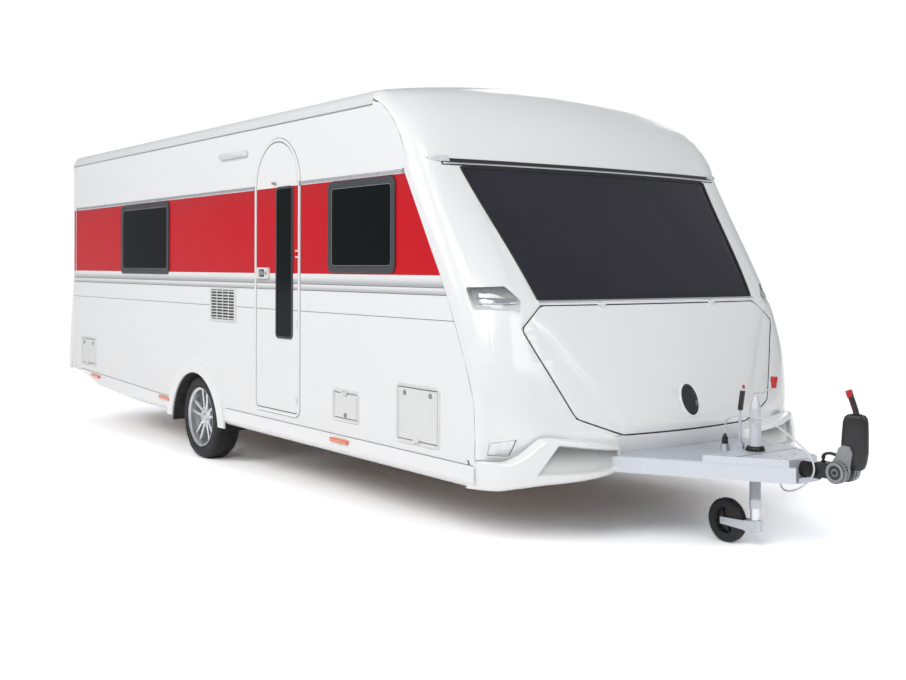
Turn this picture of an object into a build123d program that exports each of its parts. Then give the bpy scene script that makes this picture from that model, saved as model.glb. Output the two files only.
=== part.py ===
"""A single-axle touring caravan on an A-frame chassis, parked on its jockey wheel.

Millimetres. +X points at the towing vehicle, +Y to the left side, +Z up, and the
floor is at Z = 0. The entrance door is in the right side wall, at negative Y.
Stations along the caravan are measured forward from DATUM_X.
"""
import os
from math import cos, pi, radians, sin, tan

from build123d import *

os.makedirs("parts", exist_ok=True)

# ---------------------------------------------------------------- driving sizes
DATUM_X = -1080  # the body's own datum, near the axle
HALF_WIDTH = 1250  # middle line to the outer face of a side wall
WALL = 34  # thickness of the sandwich walls, doors and hatches
SKIN = 30  # thickness of the moulded front and rear
REAR_X = DATUM_X - 2750  # rear ends of the side walls
SEAM_X = DATUM_X + 2610  # joint between the roof panel and the front moulding
WALL_BOTTOM_Z = 430
EAVE_Z = 2450  # top of the side walls
CROWN_Z = EAVE_Z + 162  # roof height on the middle line
FLOOR_Z = 478  # underside of the floor, top of the chassis
FLOOR_T = 45
GAP = 6  # gap round a door, lid or hatch
PIN_GAP = 0.5  # clearance of a hinge pin, and of a hinge knuckle's ends

INNER_HALF = HALF_WIDTH - WALL
FLOOR_TOP_Z = FLOOR_Z + FLOOR_T

# wheels
AXLE_X = DATUM_X + 70
TYRE_R = 317
TYRE_W = 205
RIM_R = 228  # outer radius of the rim's flange
RIM_FACE_Y = 1200  # outer face of the rim's flange
ARCH_X = AXLE_X + 30
ARCH_Z = 235
ARCH_R = 430  # opening of the wheel arch
ARCH_TRIM_R = 530  # outer edge of the arch's trim


def rect(low, high):
    """A rectangle between two corners of the sketch in hand."""
    with Locations(((low[0] + high[0]) / 2, (low[1] + high[1]) / 2)):
        Rectangle(high[0] - low[0], high[1] - low[1])


def outline(*points):
    """A face with straight sides in the sketch in hand."""
    with BuildLine() as edge:
        Polyline(*points, close=True)
    make_face(edge.edges())


# A hinge stands on the surface: its plane has Z along the pin, X towards the moving
# piece and Y outwards. The fixed half has two ears that carry the pin, the moving half
# has the knuckle between them.
HINGE_L = 50
EAR_L = 10
KNUCKLE = 12  # side of the square knuckle
PIN_R = 3.5
PIN_SIDES = 8
HINGE_T = 8
HINGE_REACH = 17
HINGE_DROP = KNUCKLE / 2 + 5  # pin axis above the surface


def hinge_plane(origin, towards, outwards):
    """The plane of a hinge whose pin stands off the surface at origin."""
    across, out = Vector(*towards).normalized(), Vector(*outwards).normalized()
    return Plane(Vector(*origin) + out * HINGE_DROP, x_dir=across, z_dir=across.cross(out))


def hinge_half(plane, side, root=0):
    """Half a hinge in the part in hand: side is -1 for the fixed half, 1 for the moving.
    Its leaf reaches root millimetres into the surface."""
    knuckle_l = HINGE_L - 2 * (EAR_L + PIN_GAP)
    length, middles = (knuckle_l, (0,)) if side > 0 else (EAR_L, (-1, 1))
    leaf = side * (HINGE_REACH + GAP / 2) / 2, -HINGE_DROP + (HINGE_T - root) / 2
    for end in middles:
        z = end * (HINGE_L - EAR_L) / 2
        with Locations(plane.location * Pos(0, 0, z)):
            Box(KNUCKLE, KNUCKLE, length)
        with Locations(plane.location * Pos(*leaf, z)):
            Box(HINGE_REACH - GAP / 2, HINGE_T + root, length)
    with BuildSketch(plane.offset(-HINGE_L / 2)) as pin:
        RegularPolygon(PIN_R if side < 0 else PIN_R + PIN_GAP, PIN_SIDES)
    extrude(pin.sketch, amount=HINGE_L, mode=Mode.ADD if side < 0 else Mode.SUBTRACT)


def save(piece, node):
    """Label a finished piece and write it as one STEP file."""
    piece.part.label = node
    export_step(piece.part, f"parts/{node}.step")


# ---------------------------------------------------------------- front moulding
# The outer skin of the front, as side-view outlines at stations across it. Columns:
# inset of the station from the side face (None is the middle line); roof, brow and turn
# heights from EAVE_Z, each but the roof's before its x; then x and height of the
# windscreen's top and bottom, the belly, the nose and the tip; last the chin's x.
FRONT = (
    # in  roof  brow x  z   turn x  z   glass x  z   sill x  z   belly x z  nose x  z  tip x  z   chin x
    (0, 0, -18, 2690, -165, 2862, 2030, 2962, 1290, 3368, 990, 3512, 770, 3592, 600, 3602, 3600),
    (80, 62, 20, 2760, -150, 2975, 2055, 3110, 1288, 3549, 990, 3660, 770, 3690, 610, 3690, 3655),
    (250, 102, 50, 2800, -130, 3015, 2042, 3147, 1294, 3648, 985, 3745, 745, 3790, 590, 3800, 3760),
    (750, 147, 84, 2838, -110, 3060, 2057, 3190, 1285, 3689, 985, 3815, 745, 3897, 582, 3929, 3869),
    (None, 162, 95, 2850, -100, 3075, 2062, 3205, 1282, 3702, 985, 3838, 745, 3932, 580, 3972, 3905),
)
BROW_STEPS = 4  # flats round the brow


def station_points(row, skin=0):
    """The brow's points and then those down to the tip, set in by skin."""
    heights = [EAVE_Z + z for z in row[2:6:2]] + list(row[6:16:2])
    xs = [DATUM_X + x - skin for x in row[3:17:2]]
    brow, turn, glass = [(x, z - drop) for x, z, drop in zip(xs, heights, (skin, skin / 2, 0))]
    arc = Edge.make_three_point_arc(brow, turn, glass)
    flats = [arc @ (step / BROW_STEPS) for step in range(BROW_STEPS)]
    return [(p.X, p.Y) for p in flats] + [glass, *zip(xs[3:], heights[3:])]


def front_outline(row, skin=0, back=0, floor_z=FLOOR_Z):
    """One side-view outline of the front, set in from the outer surface by skin."""
    foot = (DATUM_X + row[-1] - skin, floor_z), (SEAM_X - back, floor_z)
    outline(*station_points(row, skin), *foot, (SEAM_X - back, EAVE_Z + row[1] - skin))


def front_rows(half):
    """The rows of FRONT from the right side to the left, each with its y."""
    right = [(0 if row[0] is None else row[0] - half, row) for row in FRONT]
    return right + [(-y, row) for y, row in reversed(right[:-1])]


def front_x(y, column):
    """The outer surface's x at a side distance, on the line of one of FRONT's columns."""
    rows = front_rows(HALF_WIDTH)
    for (y0, row0), (y1, row1) in zip(rows, rows[1:]):
        if y0 <= y <= y1:
            share = (y - y0) / (y1 - y0)
            return DATUM_X + row0[column] + share * (row1[column] - row0[column])


with BuildPart() as front_solid:
    for y, row in front_rows(HALF_WIDTH):
        with BuildSketch(Plane.XZ.offset(-y)):
            front_outline(row)
    loft(ruled=True)

with BuildPart() as front_cavity:
    for y, row in front_rows(INNER_HALF)[::2]:
        with BuildSketch(Plane.XZ.offset(-y)):
            front_outline(row, skin=SKIN + 8, back=60, floor_z=FLOOR_TOP_Z)
    loft(ruled=True)


def front_prism(points, inset=0):
    """A prism along X through the front, from its outline in Y and Z."""
    with BuildPart() as prism:
        with BuildSketch(Plane.YZ.offset(DATUM_X + 2900)):
            outline(*points)
            if inset:
                offset(amount=-inset)
        extrude(amount=1300)
    return prism.part


def front_layer(points, top, bottom, inset=0):
    """The front's skin inside an outline in Y and Z, from one depth to another."""
    with BuildPart() as layer:
        add(Pos(-top, 0, 0) * front_solid.part)
        add(front_prism(points, inset), mode=Mode.INTERSECT)
        add(Pos(-bottom, 0, 0) * front_solid.part, mode=Mode.SUBTRACT)
    return layer.part


def right_side(points):
    """An outline in Y and Z on the right, from points given by inset from the side."""
    return [(inset - HALF_WIDTH, z) for inset, z in points]


def both_sides(points):
    """An outline that is symmetric about the middle, from its right half."""
    return [*right_side(points), *[(-y, z) for y, z in reversed(right_side(points))]]


# ---------------------------------------------------------------- side walls
# Openings in the walls. Columns: rear x, front x, bottom z, top z, from DATUM_X.
WINDOWS_RIGHT = ((-1480, -416, 1410, 2000), (2105, 2861, 1437, 2000))
WINDOWS_LEFT = ((-2300, -1300, 1410, 2000), (-500, 700, 1410, 2000), (1900, 2800, 1437, 2000))
# Columns: node, rear x, front x, bottom z, top z, hinge edge.
HATCHES = (
    ("hatch_rear", -2511, -2134, 552, 810, "bottom"),
    ("hatch_middle", 2166, 2464, 535, 722, "top"),
    ("hatch_front", 2878, 3291, 492, 817, "bottom"),
)
DOOR = (1100, 1740, 490, 2335)  # outer edges of the door's frame
DOOR_CORNER_R = 60
# The wall's lower edge rises towards the rear. Columns: x from DATUM_X, height.
SILL_RISE = ((-360, WALL_BOTTOM_Z), (-2500, WALL_BOTTOM_Z + 60))
REAR_BOTTOM_Z = SILL_RISE[-1][1]


def wall_outline():
    """The side wall: its front edge is the first station of the front moulding."""
    outline(
        *station_points(FRONT[0]),
        (DATUM_X + FRONT[0][-1], WALL_BOTTOM_Z),
        *[(DATUM_X + x, z) for x, z in SILL_RISE],
        (REAR_X, REAR_BOTTOM_Z),
        (REAR_X, EAVE_Z),
        (SEAM_X, EAVE_Z),
    )


def hole(x0, x1, z0, z1, mode=Mode.SUBTRACT):
    """A rectangular opening, by its stations and heights."""
    with Locations((DATUM_X + (x0 + x1) / 2, (z0 + z1) / 2)):
        Rectangle(x1 - x0, z1 - z0, mode=mode)


def door_shape(inset, mode=Mode.ADD):
    """The door's arched outline, inset from the outer edge of its frame."""
    x0, x1, z0, z1 = DOOR
    half = (x1 - x0) / 2
    rear, front = DATUM_X + x0 + inset, DATUM_X + x1 - inset
    with BuildSketch(mode=Mode.PRIVATE) as shape:
        with BuildLine() as edge:
            Polyline((rear, z1 - half), (rear, z0 + inset), (front, z0 + inset), (front, z1 - half))
            ThreePointArc((front, z1 - half), ((rear + front) / 2, z1 - inset), (rear, z1 - half))
        make_face(edge.edges())
        fillet(shape.vertices().sort_by(Axis.Y)[:2], DOOR_CORNER_R - inset)
    add(shape.sketch, mode=mode)


ARCH_CUT_R = (ARCH_R + ARCH_TRIM_R) / 2


def arch_cut(radius, bottom, mode=Mode.SUBTRACT):
    """The wheel arch, a round head on straight legs."""
    with Locations((ARCH_X, ARCH_Z)):
        Circle(radius, mode=mode)
    with Locations((ARCH_X, (ARCH_Z + bottom) / 2)):
        Rectangle(2 * radius, ARCH_Z - bottom, mode=mode)


with BuildPart() as side_wall_right:
    with BuildSketch(Plane.XZ.offset(INNER_HALF)):
        wall_outline()
        door_shape(0, mode=Mode.SUBTRACT)
        arch_cut(ARCH_CUT_R, 0)
        for window in WINDOWS_RIGHT:
            hole(*window)
        for hatch in HATCHES:
            hole(*hatch[1:5])
    extrude(amount=WALL)

with BuildPart() as side_wall_left:
    with BuildSketch(Plane.XZ.offset(-HALF_WIDTH)):
        wall_outline()
        arch_cut(ARCH_CUT_R, 0)
        for window in WINDOWS_LEFT:
            hole(*window)
    extrude(amount=WALL)

# ---------------------------------------------------------------- roof
ROOF_REAR_X = REAR_X - WALL
ROOF_EDGE_Z = EAVE_Z + 70
ROOF_EDGE_IN = 62  # width of the rolled edge of the roof

with BuildPart() as roof:
    with BuildSketch(Plane.YZ.offset(ROOF_REAR_X)):
        with BuildLine():
            ThreePointArc(
                (-HALF_WIDTH + ROOF_EDGE_IN, ROOF_EDGE_Z),
                (0, CROWN_Z),
                (HALF_WIDTH - ROOF_EDGE_IN, ROOF_EDGE_Z),
            )
            for side in (-1, 1):
                edge = (side * (HALF_WIDTH - ROOF_EDGE_IN), ROOF_EDGE_Z)
                eave = (side * HALF_WIDTH, EAVE_Z)
                middle = side * (HALF_WIDTH - 0.25 * ROOF_EDGE_IN), EAVE_Z + 0.7 * (ROOF_EDGE_Z - EAVE_Z)
                ThreePointArc(edge, middle, eave)
                Line(eave, (side * INNER_HALF, EAVE_Z))
            ThreePointArc((INNER_HALF, EAVE_Z), (0, CROWN_Z - WALL), (-INNER_HALF, EAVE_Z))
        make_face()
    extrude(amount=SEAM_X - ROOF_REAR_X)

# ---------------------------------------------------------------- front moulding, windscreen, locker
# Outlines on the front. Columns: inset from the side, height.
WINDSCREEN = both_sides([(381, 1300), (244, 2040)])
LOCKER_LID = both_sides([(750, 580), (470, 680), (230, 1150), (380, 1272)])
GRIP = right_side([(45, 1252), (240, 1240), (265, 1300), (205, 1372), (45, 1368)])
LAMP = right_side([(45, 495), (150, 490), (165, 592), (45, 570)])
TOP_MARKER = right_side([(45, 2082), (120, 2068), (175, 2070), (175, 2100), (120, 2104)])
PANE_T = 9
LID_T = 28
GRIP_DEPTH = 22
LAMP_DEPTH = 12
HANDLE_DEPTH = 14

with BuildPart() as windscreen:
    add(front_layer(WINDSCREEN, 0, PANE_T))

with BuildPart() as front_recesses:
    add(front_layer(GRIP, 0, GRIP_DEPTH))
    add(front_layer(LAMP, 0, LAMP_DEPTH))
    mirror(about=Plane.XZ)

# lid hinges: just below the crease above the lid, at both sides of the middle
SILL, BELLY = 9, 11  # columns of FRONT: x at the windscreen's foot and at the belly
LID_HINGE_Y = 450
LID_HINGE_Z = 1272 - GAP / 2
BELLY_SLOPE = (front_x(-LID_HINGE_Y, BELLY) - front_x(-LID_HINGE_Y, SILL), 0, -298)
LID_HINGE_X = front_x(-LID_HINGE_Y, SILL) + 15 * BELLY_SLOPE[0] / 298


def lid_hinge(y):
    """The plane of one lid hinge."""
    return hinge_plane((LID_HINGE_X, y, LID_HINGE_Z), BELLY_SLOPE, (298, 0, BELLY_SLOPE[0]))


with BuildPart() as front_moulding:
    add(front_solid.part)
    add(front_cavity.part, mode=Mode.SUBTRACT)
    for face in (HALF_WIDTH, -INNER_HALF):
        with BuildSketch(Plane.XZ.offset(face)):
            wall_outline()
        extrude(amount=-WALL, mode=Mode.SUBTRACT)
    add(front_prism(WINDSCREEN), mode=Mode.SUBTRACT)
    add(front_prism(LOCKER_LID), mode=Mode.SUBTRACT)
    add(front_recesses.part, mode=Mode.SUBTRACT)
    with BuildSketch(Plane.XY.offset(FLOOR_Z)):
        rect((SEAM_X - 10, -INNER_HALF), (DATUM_X + 3560, INNER_HALF))
    extrude(amount=FLOOR_T, mode=Mode.SUBTRACT)
    for y in (-LID_HINGE_Y, LID_HINGE_Y):
        hinge_half(lid_hinge(y), -1, root=8)

# the lid's handle: a bar in an oval recess
HANDLE_Z = 740
with BuildPart() as handle_prism:
    with BuildSketch(Plane.YZ.offset(DATUM_X + 3700)):
        with Locations((0, HANDLE_Z)):
            turns = [2 * pi * step / 20 for step in range(20)]
            Polygon(*[(72 * cos(turn), 85 * sin(turn)) for turn in turns], align=None)
    extrude(amount=500)

with BuildPart() as handle_recess:
    add(front_layer(LOCKER_LID, 0, HANDLE_DEPTH))
    add(handle_prism.part, mode=Mode.INTERSECT)

with BuildPart() as locker_lid:
    add(front_layer(LOCKER_LID, 0, LID_T, inset=GAP))
    add(handle_recess.part, mode=Mode.SUBTRACT)
    for y in (-LID_HINGE_Y, LID_HINGE_Y):
        hinge_half(lid_hinge(y), 1, root=8)

with BuildPart() as locker_handle:
    bar = [(-13, HANDLE_Z - 90), (13, HANDLE_Z - 90), (13, HANDLE_Z + 90), (-13, HANDLE_Z + 90)]
    add(front_layer(bar, 2, HANDLE_DEPTH))
    add(handle_prism.part, mode=Mode.INTERSECT)

# the locker behind the lid: a bulkhead and the shelf over it
BULKHEAD_X = DATUM_X + 3240
SHELF_Z = 1330
with BuildPart() as locker_box:
    with BuildSketch(Plane.XY.offset(FLOOR_TOP_Z)):
        rect((BULKHEAD_X, -INNER_HALF), (BULKHEAD_X + 20, INNER_HALF))
    extrude(amount=SHELF_Z - FLOOR_TOP_Z)

# ---------------------------------------------------------------- rear
# Side view of the rear moulding. Columns: distance behind the side walls, height.
REAR_PROFILE = ((WALL, EAVE_Z), (WALL, 1350), (120, 900), (160, 560), (145, REAR_BOTTOM_Z))
REAR_WINDOW = (-700, 700, 1410, 2000)  # right, left, bottom, top
REAR_ROUND = 30  # rounding of the rear corners

with BuildPart() as rear_moulding:
    profile = [(REAR_X - x, z) for x, z in REAR_PROFILE]
    with BuildSketch(Plane.XZ.offset(-HALF_WIDTH)):
        outline((REAR_X, EAVE_Z), *profile, (REAR_X, REAR_BOTTOM_Z))
    extrude(amount=2 * HALF_WIDTH)
    corners = rear_moulding.edges().filter_by(lambda e: abs(e.center().Y) > HALF_WIDTH - 1)
    fillet(corners.filter_by(lambda e: e.center().X < REAR_X - 1 and abs((e % 0).Z) > 0.5), REAR_ROUND)
    with BuildSketch(Plane.XZ.offset(-INNER_HALF)):
        outline(
            (REAR_X, 1350),
            *[(x + WALL, z) for x, z in profile[2:4]],
            (REAR_X - 145 + WALL, REAR_BOTTOM_Z + SKIN),
            (REAR_X, REAR_BOTTOM_Z + SKIN),
        )
    extrude(amount=2 * INNER_HALF, mode=Mode.SUBTRACT)
    with BuildSketch(Plane.YZ.offset(REAR_X)):
        rect((REAR_WINDOW[0], REAR_WINDOW[2]), (REAR_WINDOW[1], REAR_WINDOW[3]))
    extrude(amount=-WALL, mode=Mode.SUBTRACT)

LAMP_T = 14
with BuildPart() as rear_lamps:
    with BuildSketch(Plane.XZ.offset(930)):
        outline(
            (REAR_X - 120, 900),
            (REAR_X - 120 - LAMP_T, 900),
            (REAR_X - 160 - LAMP_T, 560),
            (REAR_X - 160, 560),
        )
    extrude(amount=250)
    mirror(about=Plane.XZ)

# ---------------------------------------------------------------- floor and wheel boxes
FLOOR_FRONT_X = DATUM_X + 3560
BOX_IN_Y = 930  # inner side of the wheel boxes
BOX_R = ARCH_CUT_R + 20
BOX_T = 6

with BuildPart() as floor:
    with BuildSketch(Plane.XY.offset(FLOOR_Z)):
        rect((REAR_X, -INNER_HALF), (FLOOR_FRONT_X, INNER_HALF))
    extrude(amount=FLOOR_T)
    for side in (-1, 1):
        with BuildSketch(Plane.XZ.offset(side * BOX_IN_Y)):
            with Locations((ARCH_X, ARCH_Z)):
                Circle(BOX_R)
        extrude(amount=side * (INNER_HALF - BOX_IN_Y), mode=Mode.SUBTRACT)

with BuildPart() as wheel_boxes:
    with BuildSketch(Plane.XZ.offset(BOX_IN_Y)):
        with Locations((ARCH_X, ARCH_Z)):
            Circle(BOX_R)
        rect((ARCH_X - BOX_R, ARCH_Z - BOX_R), (ARCH_X + BOX_R, FLOOR_Z))
    extrude(amount=INNER_HALF - BOX_IN_Y)
    with BuildSketch(Plane.XZ.offset(BOX_IN_Y)):
        rect((ARCH_X - BOX_R, ARCH_Z - BOX_R), (ARCH_X + BOX_R, FLOOR_Z))
    extrude(amount=INNER_HALF - BOX_IN_Y, mode=Mode.SUBTRACT)
    with BuildSketch(Plane.XZ.offset(BOX_IN_Y + BOX_T)):
        with Locations((ARCH_X, ARCH_Z)):
            Circle(BOX_R - BOX_T)
    extrude(amount=INNER_HALF - BOX_IN_Y, mode=Mode.SUBTRACT)
    mirror(about=Plane.XZ)

# ---------------------------------------------------------------- windows
FRAME_W = 40  # width of a window's frame
FRAME_PROUD = 12
PANE_PROUD = 6

with BuildPart() as window_frames:
    for side, windows in ((-1, WINDOWS_RIGHT), (1, WINDOWS_LEFT)):
        with BuildSketch(Plane.XZ.offset(-side * INNER_HALF)):
            for x0, x1, z0, z1 in windows:
                hole(x0, x1, z0, z1, mode=Mode.ADD)
                hole(x0 + FRAME_W, x1 - FRAME_W, z0 + FRAME_W, z1 - FRAME_W)
        extrude(amount=-side * (WALL + FRAME_PROUD))
    with BuildSketch(Plane.YZ.offset(REAR_X)):
        y0, y1, z0, z1 = REAR_WINDOW
        rect((y0, z0), (y1, z1))
        with Locations((0, (z0 + z1) / 2)):
            Rectangle(y1 - y0 - 2 * FRAME_W, z1 - z0 - 2 * FRAME_W, mode=Mode.SUBTRACT)
    extrude(amount=-(WALL + FRAME_PROUD))

with BuildPart() as window_panes:
    for side, windows in ((-1, WINDOWS_RIGHT), (1, WINDOWS_LEFT)):
        with BuildSketch(Plane.XZ.offset(-side * (HALF_WIDTH - PANE_PROUD))):
            for x0, x1, z0, z1 in windows:
                hole(x0 + FRAME_W, x1 - FRAME_W, z0 + FRAME_W, z1 - FRAME_W, mode=Mode.ADD)
        extrude(amount=-side * 2 * PANE_PROUD)
    with BuildSketch(Plane.YZ.offset(REAR_X - WALL + PANE_PROUD)):
        with Locations((0, (z0 + z1) / 2)):
            Rectangle(y1 - y0 - 2 * FRAME_W, z1 - z0 - 2 * FRAME_W)
    extrude(amount=-2 * PANE_PROUD)

# ---------------------------------------------------------------- entrance door
DOOR_FRAME_W = 22
DOOR_PROUD = 3
DOOR_SLOT = (1424, 1638, 1007, 1997)  # the door's narrow window
DOOR_SLOT_R = 25
DOOR_HINGE_Z = (600, 1102, 1558, 2054)
DOOR_HINGE_X = DOOR[1] - DOOR_FRAME_W - GAP / 2


def door_hinge(z):
    """The plane of one door hinge, with its pin upright."""
    place = DATUM_X + DOOR_HINGE_X, -HALF_WIDTH - DOOR_PROUD, z
    return hinge_plane(place, (-1, 0, 0), (0, -1, 0))


def door_slot(mode=Mode.SUBTRACT):
    """The outline of the door's window."""
    x0, x1, z0, z1 = DOOR_SLOT
    with Locations((DATUM_X + (x0 + x1) / 2, (z0 + z1) / 2)):
        RectangleRounded(x1 - x0, z1 - z0, DOOR_SLOT_R, mode=mode)


with BuildPart() as door_frame:
    with BuildSketch(Plane.XZ.offset(INNER_HALF)):
        door_shape(0)
        door_shape(DOOR_FRAME_W, mode=Mode.SUBTRACT)
    extrude(amount=WALL + DOOR_PROUD)
    for z in DOOR_HINGE_Z:
        hinge_half(door_hinge(z), -1)

with BuildPart() as entrance_door:
    with BuildSketch(Plane.XZ.offset(INNER_HALF)):
        door_shape(DOOR_FRAME_W + GAP)
        door_slot()
    extrude(amount=WALL + DOOR_PROUD)
    for z in DOOR_HINGE_Z:
        hinge_half(door_hinge(z), 1)

with BuildPart() as door_window:
    with BuildSketch(Plane.XZ.offset(HALF_WIDTH - PANE_PROUD)):
        door_slot(mode=Mode.ADD)
    extrude(amount=PANE_PROUD + DOOR_PROUD + 2)

DOOR_LOCK = (1150, 1330, 1395, 1465)
with BuildPart() as door_handle:
    with BuildSketch(Plane.XZ.offset(HALF_WIDTH + DOOR_PROUD)):
        hole(*DOOR_LOCK, mode=Mode.ADD)
    extrude(amount=18, taper=12)

# ---------------------------------------------------------------- service hatches
HATCH_FRAME_W = 14


def hatch_hinge(x0, x1, z0, z1, edge):
    """The plane of a hatch's hinge, with its pin along X."""
    seam = HATCH_FRAME_W + GAP / 2
    towards, z = (1, z0 + seam) if edge == "bottom" else (-1, z1 - seam)
    place = DATUM_X + (x0 + x1) / 2, -HALF_WIDTH - DOOR_PROUD, z
    return hinge_plane(place, (0, 0, towards), (0, -1, 0))


with BuildPart() as hatch_frames:
    with BuildSketch(Plane.XZ.offset(INNER_HALF)):
        for node, x0, x1, z0, z1, edge in HATCHES:
            hole(x0, x1, z0, z1, mode=Mode.ADD)
            w = HATCH_FRAME_W
            hole(x0 + w, x1 - w, z0 + w, z1 - w)
    extrude(amount=WALL + DOOR_PROUD)
    for node, x0, x1, z0, z1, edge in HATCHES:
        hinge_half(hatch_hinge(x0, x1, z0, z1, edge), -1)

hatches = {}
for node, x0, x1, z0, z1, edge in HATCHES:
    with BuildPart() as hatch:
        with BuildSketch(Plane.XZ.offset(INNER_HALF)):
            w = HATCH_FRAME_W + GAP
            hole(x0 + w, x1 - w, z0 + w, z1 - w, mode=Mode.ADD)
        extrude(amount=WALL + DOOR_PROUD)
        hinge_half(hatch_hinge(x0, x1, z0, z1, edge), 1)
    hatches[node] = hatch

# ---------------------------------------------------------------- outside of the walls
SKIRT_T = 6
SKIRT_BOTTOM_Z = 320
SKIRT_TURN_Z = 375  # where the skirt begins to curve in
# Side view of the skirt behind the wheel, which tapers upwards. Columns: x, height.
REAR_SKIRT = ((-2523, 494), (-2026, 386), (-1042, 325), (-300, 312), (-300, 428), (-2523, 503))
FRONT_SKIRT = ((300, 312), (3600, 312), (3600, WALL_BOTTOM_Z + 12), (300, WALL_BOTTOM_Z + 12))


def skirt_section():
    """A sill profile that hangs from the wall's foot and curves in below."""
    y, t, low, high = -HALF_WIDTH, SKIRT_T, SKIRT_BOTTOM_Z, SILL_RISE[-1][1] + 20
    with BuildLine() as edge:
        Polyline((y - t, SKIRT_TURN_Z), (y - t, high), (y, high), (y, SKIRT_TURN_Z))
        ThreePointArc((y, SKIRT_TURN_Z), (y + 12, low + 22), (y + 42, low + t))
        Line((y + 42, low + t), (y + 42, low))
        ThreePointArc((y + 42, low), (y + 7, low + 17), (y - t, SKIRT_TURN_Z))
    make_face(edge.edges())


with BuildPart() as side_skirts:
    with BuildSketch(Plane.YZ.offset(REAR_X)):
        skirt_section()
    extrude(amount=DATUM_X + 3600 - REAR_X)
    with BuildSketch(Plane.XZ.offset(HALF_WIDTH + WALL)):
        for side_view in (REAR_SKIRT, FRONT_SKIRT):
            outline(*[(DATUM_X + x, z) for x, z in side_view])
        with Locations((ARCH_X, ARCH_Z)):
            Circle(ARCH_TRIM_R, mode=Mode.SUBTRACT)
    extrude(amount=-100, mode=Mode.INTERSECT)
    mirror(about=Plane.XZ)

ARCH_TRIM_PROUD = 16
with BuildPart() as arch_trims:
    with BuildSketch(Plane.XZ.offset(HALF_WIDTH)):
        with Locations((ARCH_X, ARCH_Z)):
            Circle(ARCH_TRIM_R)
            Circle(ARCH_R, mode=Mode.SUBTRACT)
        with Locations((ARCH_X, ARCH_Z + 60 - ARCH_TRIM_R)):
            Rectangle(2 * ARCH_TRIM_R, 2 * ARCH_TRIM_R, mode=Mode.SUBTRACT)
    extrude(amount=ARCH_TRIM_PROUD)
    with BuildSketch(Plane.XZ.offset(INNER_HALF)):
        with Locations((ARCH_X, ARCH_Z)):
            Circle(ARCH_R + 8)
            Circle(ARCH_R, mode=Mode.SUBTRACT)
        with Locations((ARCH_X, ARCH_Z + 60 - ARCH_TRIM_R)):
            Rectangle(2 * ARCH_TRIM_R, 2 * ARCH_TRIM_R, mode=Mode.SUBTRACT)
    extrude(amount=WALL)
    mirror(about=Plane.XZ)

# Rails on the walls. Columns: rear x, front x, bottom z, top z, thickness.
RAILS = ((-2750, 2610, 2425, 2447, 9), (-2650, 1094, 2003, 2030, 5), (1746, 2930, 2003, 2030, 5))
with BuildPart() as awning_rails:
    for x0, x1, z0, z1, proud in RAILS:
        with BuildSketch(Plane.XZ.offset(HALF_WIDTH)):
            hole(x0, x1, z0, z1, mode=Mode.ADD)
        extrude(amount=proud)
    mirror(about=Plane.XZ)

# Vents on the walls. Columns: side, rear x, front x, bottom z, top z, slots.
VENTS = ((-1, 364, 805, 1071, 1322, 8), (1, 1000, 1440, 700, 900, 6), (1, 1000, 1440, 1150, 1350, 6))
VENT_T = 8
with BuildPart() as side_vents:
    for side, x0, x1, z0, z1, slots in VENTS:
        with BuildSketch(Plane.XZ.offset(-side * HALF_WIDTH)):
            hole(x0, x1, z0, z1, mode=Mode.ADD)
            pitch = (z1 - z0) / (slots + 1)
            with Locations(*[(DATUM_X + (x0 + x1) / 2, z0 + pitch * (i + 1)) for i in range(slots)]):
                Rectangle(x1 - x0 - 50, pitch / 2, mode=Mode.SUBTRACT)
        extrude(amount=-side * VENT_T)

# Side markers on the skirts. Columns: middle x, middle z.
MARKERS = ((-2106, 464), (-483, 415), (2257, 410))
with BuildPart() as side_markers:
    for x, z in MARKERS:
        with BuildSketch(Plane.XZ.offset(HALF_WIDTH + SKIRT_T)):
            with Locations((DATUM_X + x, z)):
                Rectangle(110, 24)
        extrude(amount=12, taper=20)
    mirror(about=Plane.XZ)

AWNING_LAMP = (557, 982, 2250, 2290)
with BuildPart() as awning_lamp:
    with BuildSketch(Plane.XZ.offset(HALF_WIDTH)):
        hole(*AWNING_LAMP, mode=Mode.ADD)
    extrude(amount=30)

# Roof lights. Columns: middle x, length, width.
ROOF_LIGHTS = ((-1900, 450, 450), (250, 960, 620), (2000, 450, 450))
with BuildPart() as roof_lights:
    for x, length, width in ROOF_LIGHTS:
        with BuildSketch(Plane.XY.offset(CROWN_Z - 30)):
            with Locations((DATUM_X + x, 0)):
                base = Rectangle(length, width)
            chamfer(base.vertices(), 40)
        extrude(amount=75, taper=8)
    add(roof.part, mode=Mode.SUBTRACT)
    with BuildSketch(Plane.YZ.offset(REAR_X)):
        with BuildLine():
            ThreePointArc((INNER_HALF, EAVE_Z), (0, CROWN_Z - WALL), (-INNER_HALF, EAVE_Z))
            Line((INNER_HALF, EAVE_Z), (-INNER_HALF, EAVE_Z))
        make_face()
    extrude(amount=SEAM_X - REAR_X, mode=Mode.SUBTRACT)

# ---------------------------------------------------------------- front trim
with BuildPart() as corner_grips:
    add(front_layer(GRIP, 4, 16))
    with BuildSketch(Plane.XY.offset(1296)):
        rect((DATUM_X, -HALF_WIDTH), (DATUM_X + 4000, 0))
    extrude(amount=16, mode=Mode.INTERSECT)
    mirror(about=Plane.XZ)

with BuildPart() as front_lamps:
    add(front_layer(LAMP, 3, LAMP_DEPTH, inset=6))
    add(front_layer(TOP_MARKER, -14, 0))
    mirror(about=Plane.XZ)

# Plan of the right bumper. Columns: x from DATUM_X, inset from the side.
BUMPER = ((3604, 15), (3755, 60), (3880, 250), (3978, 450), (3978, 610), (3940, 745), (3880, 745))
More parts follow.
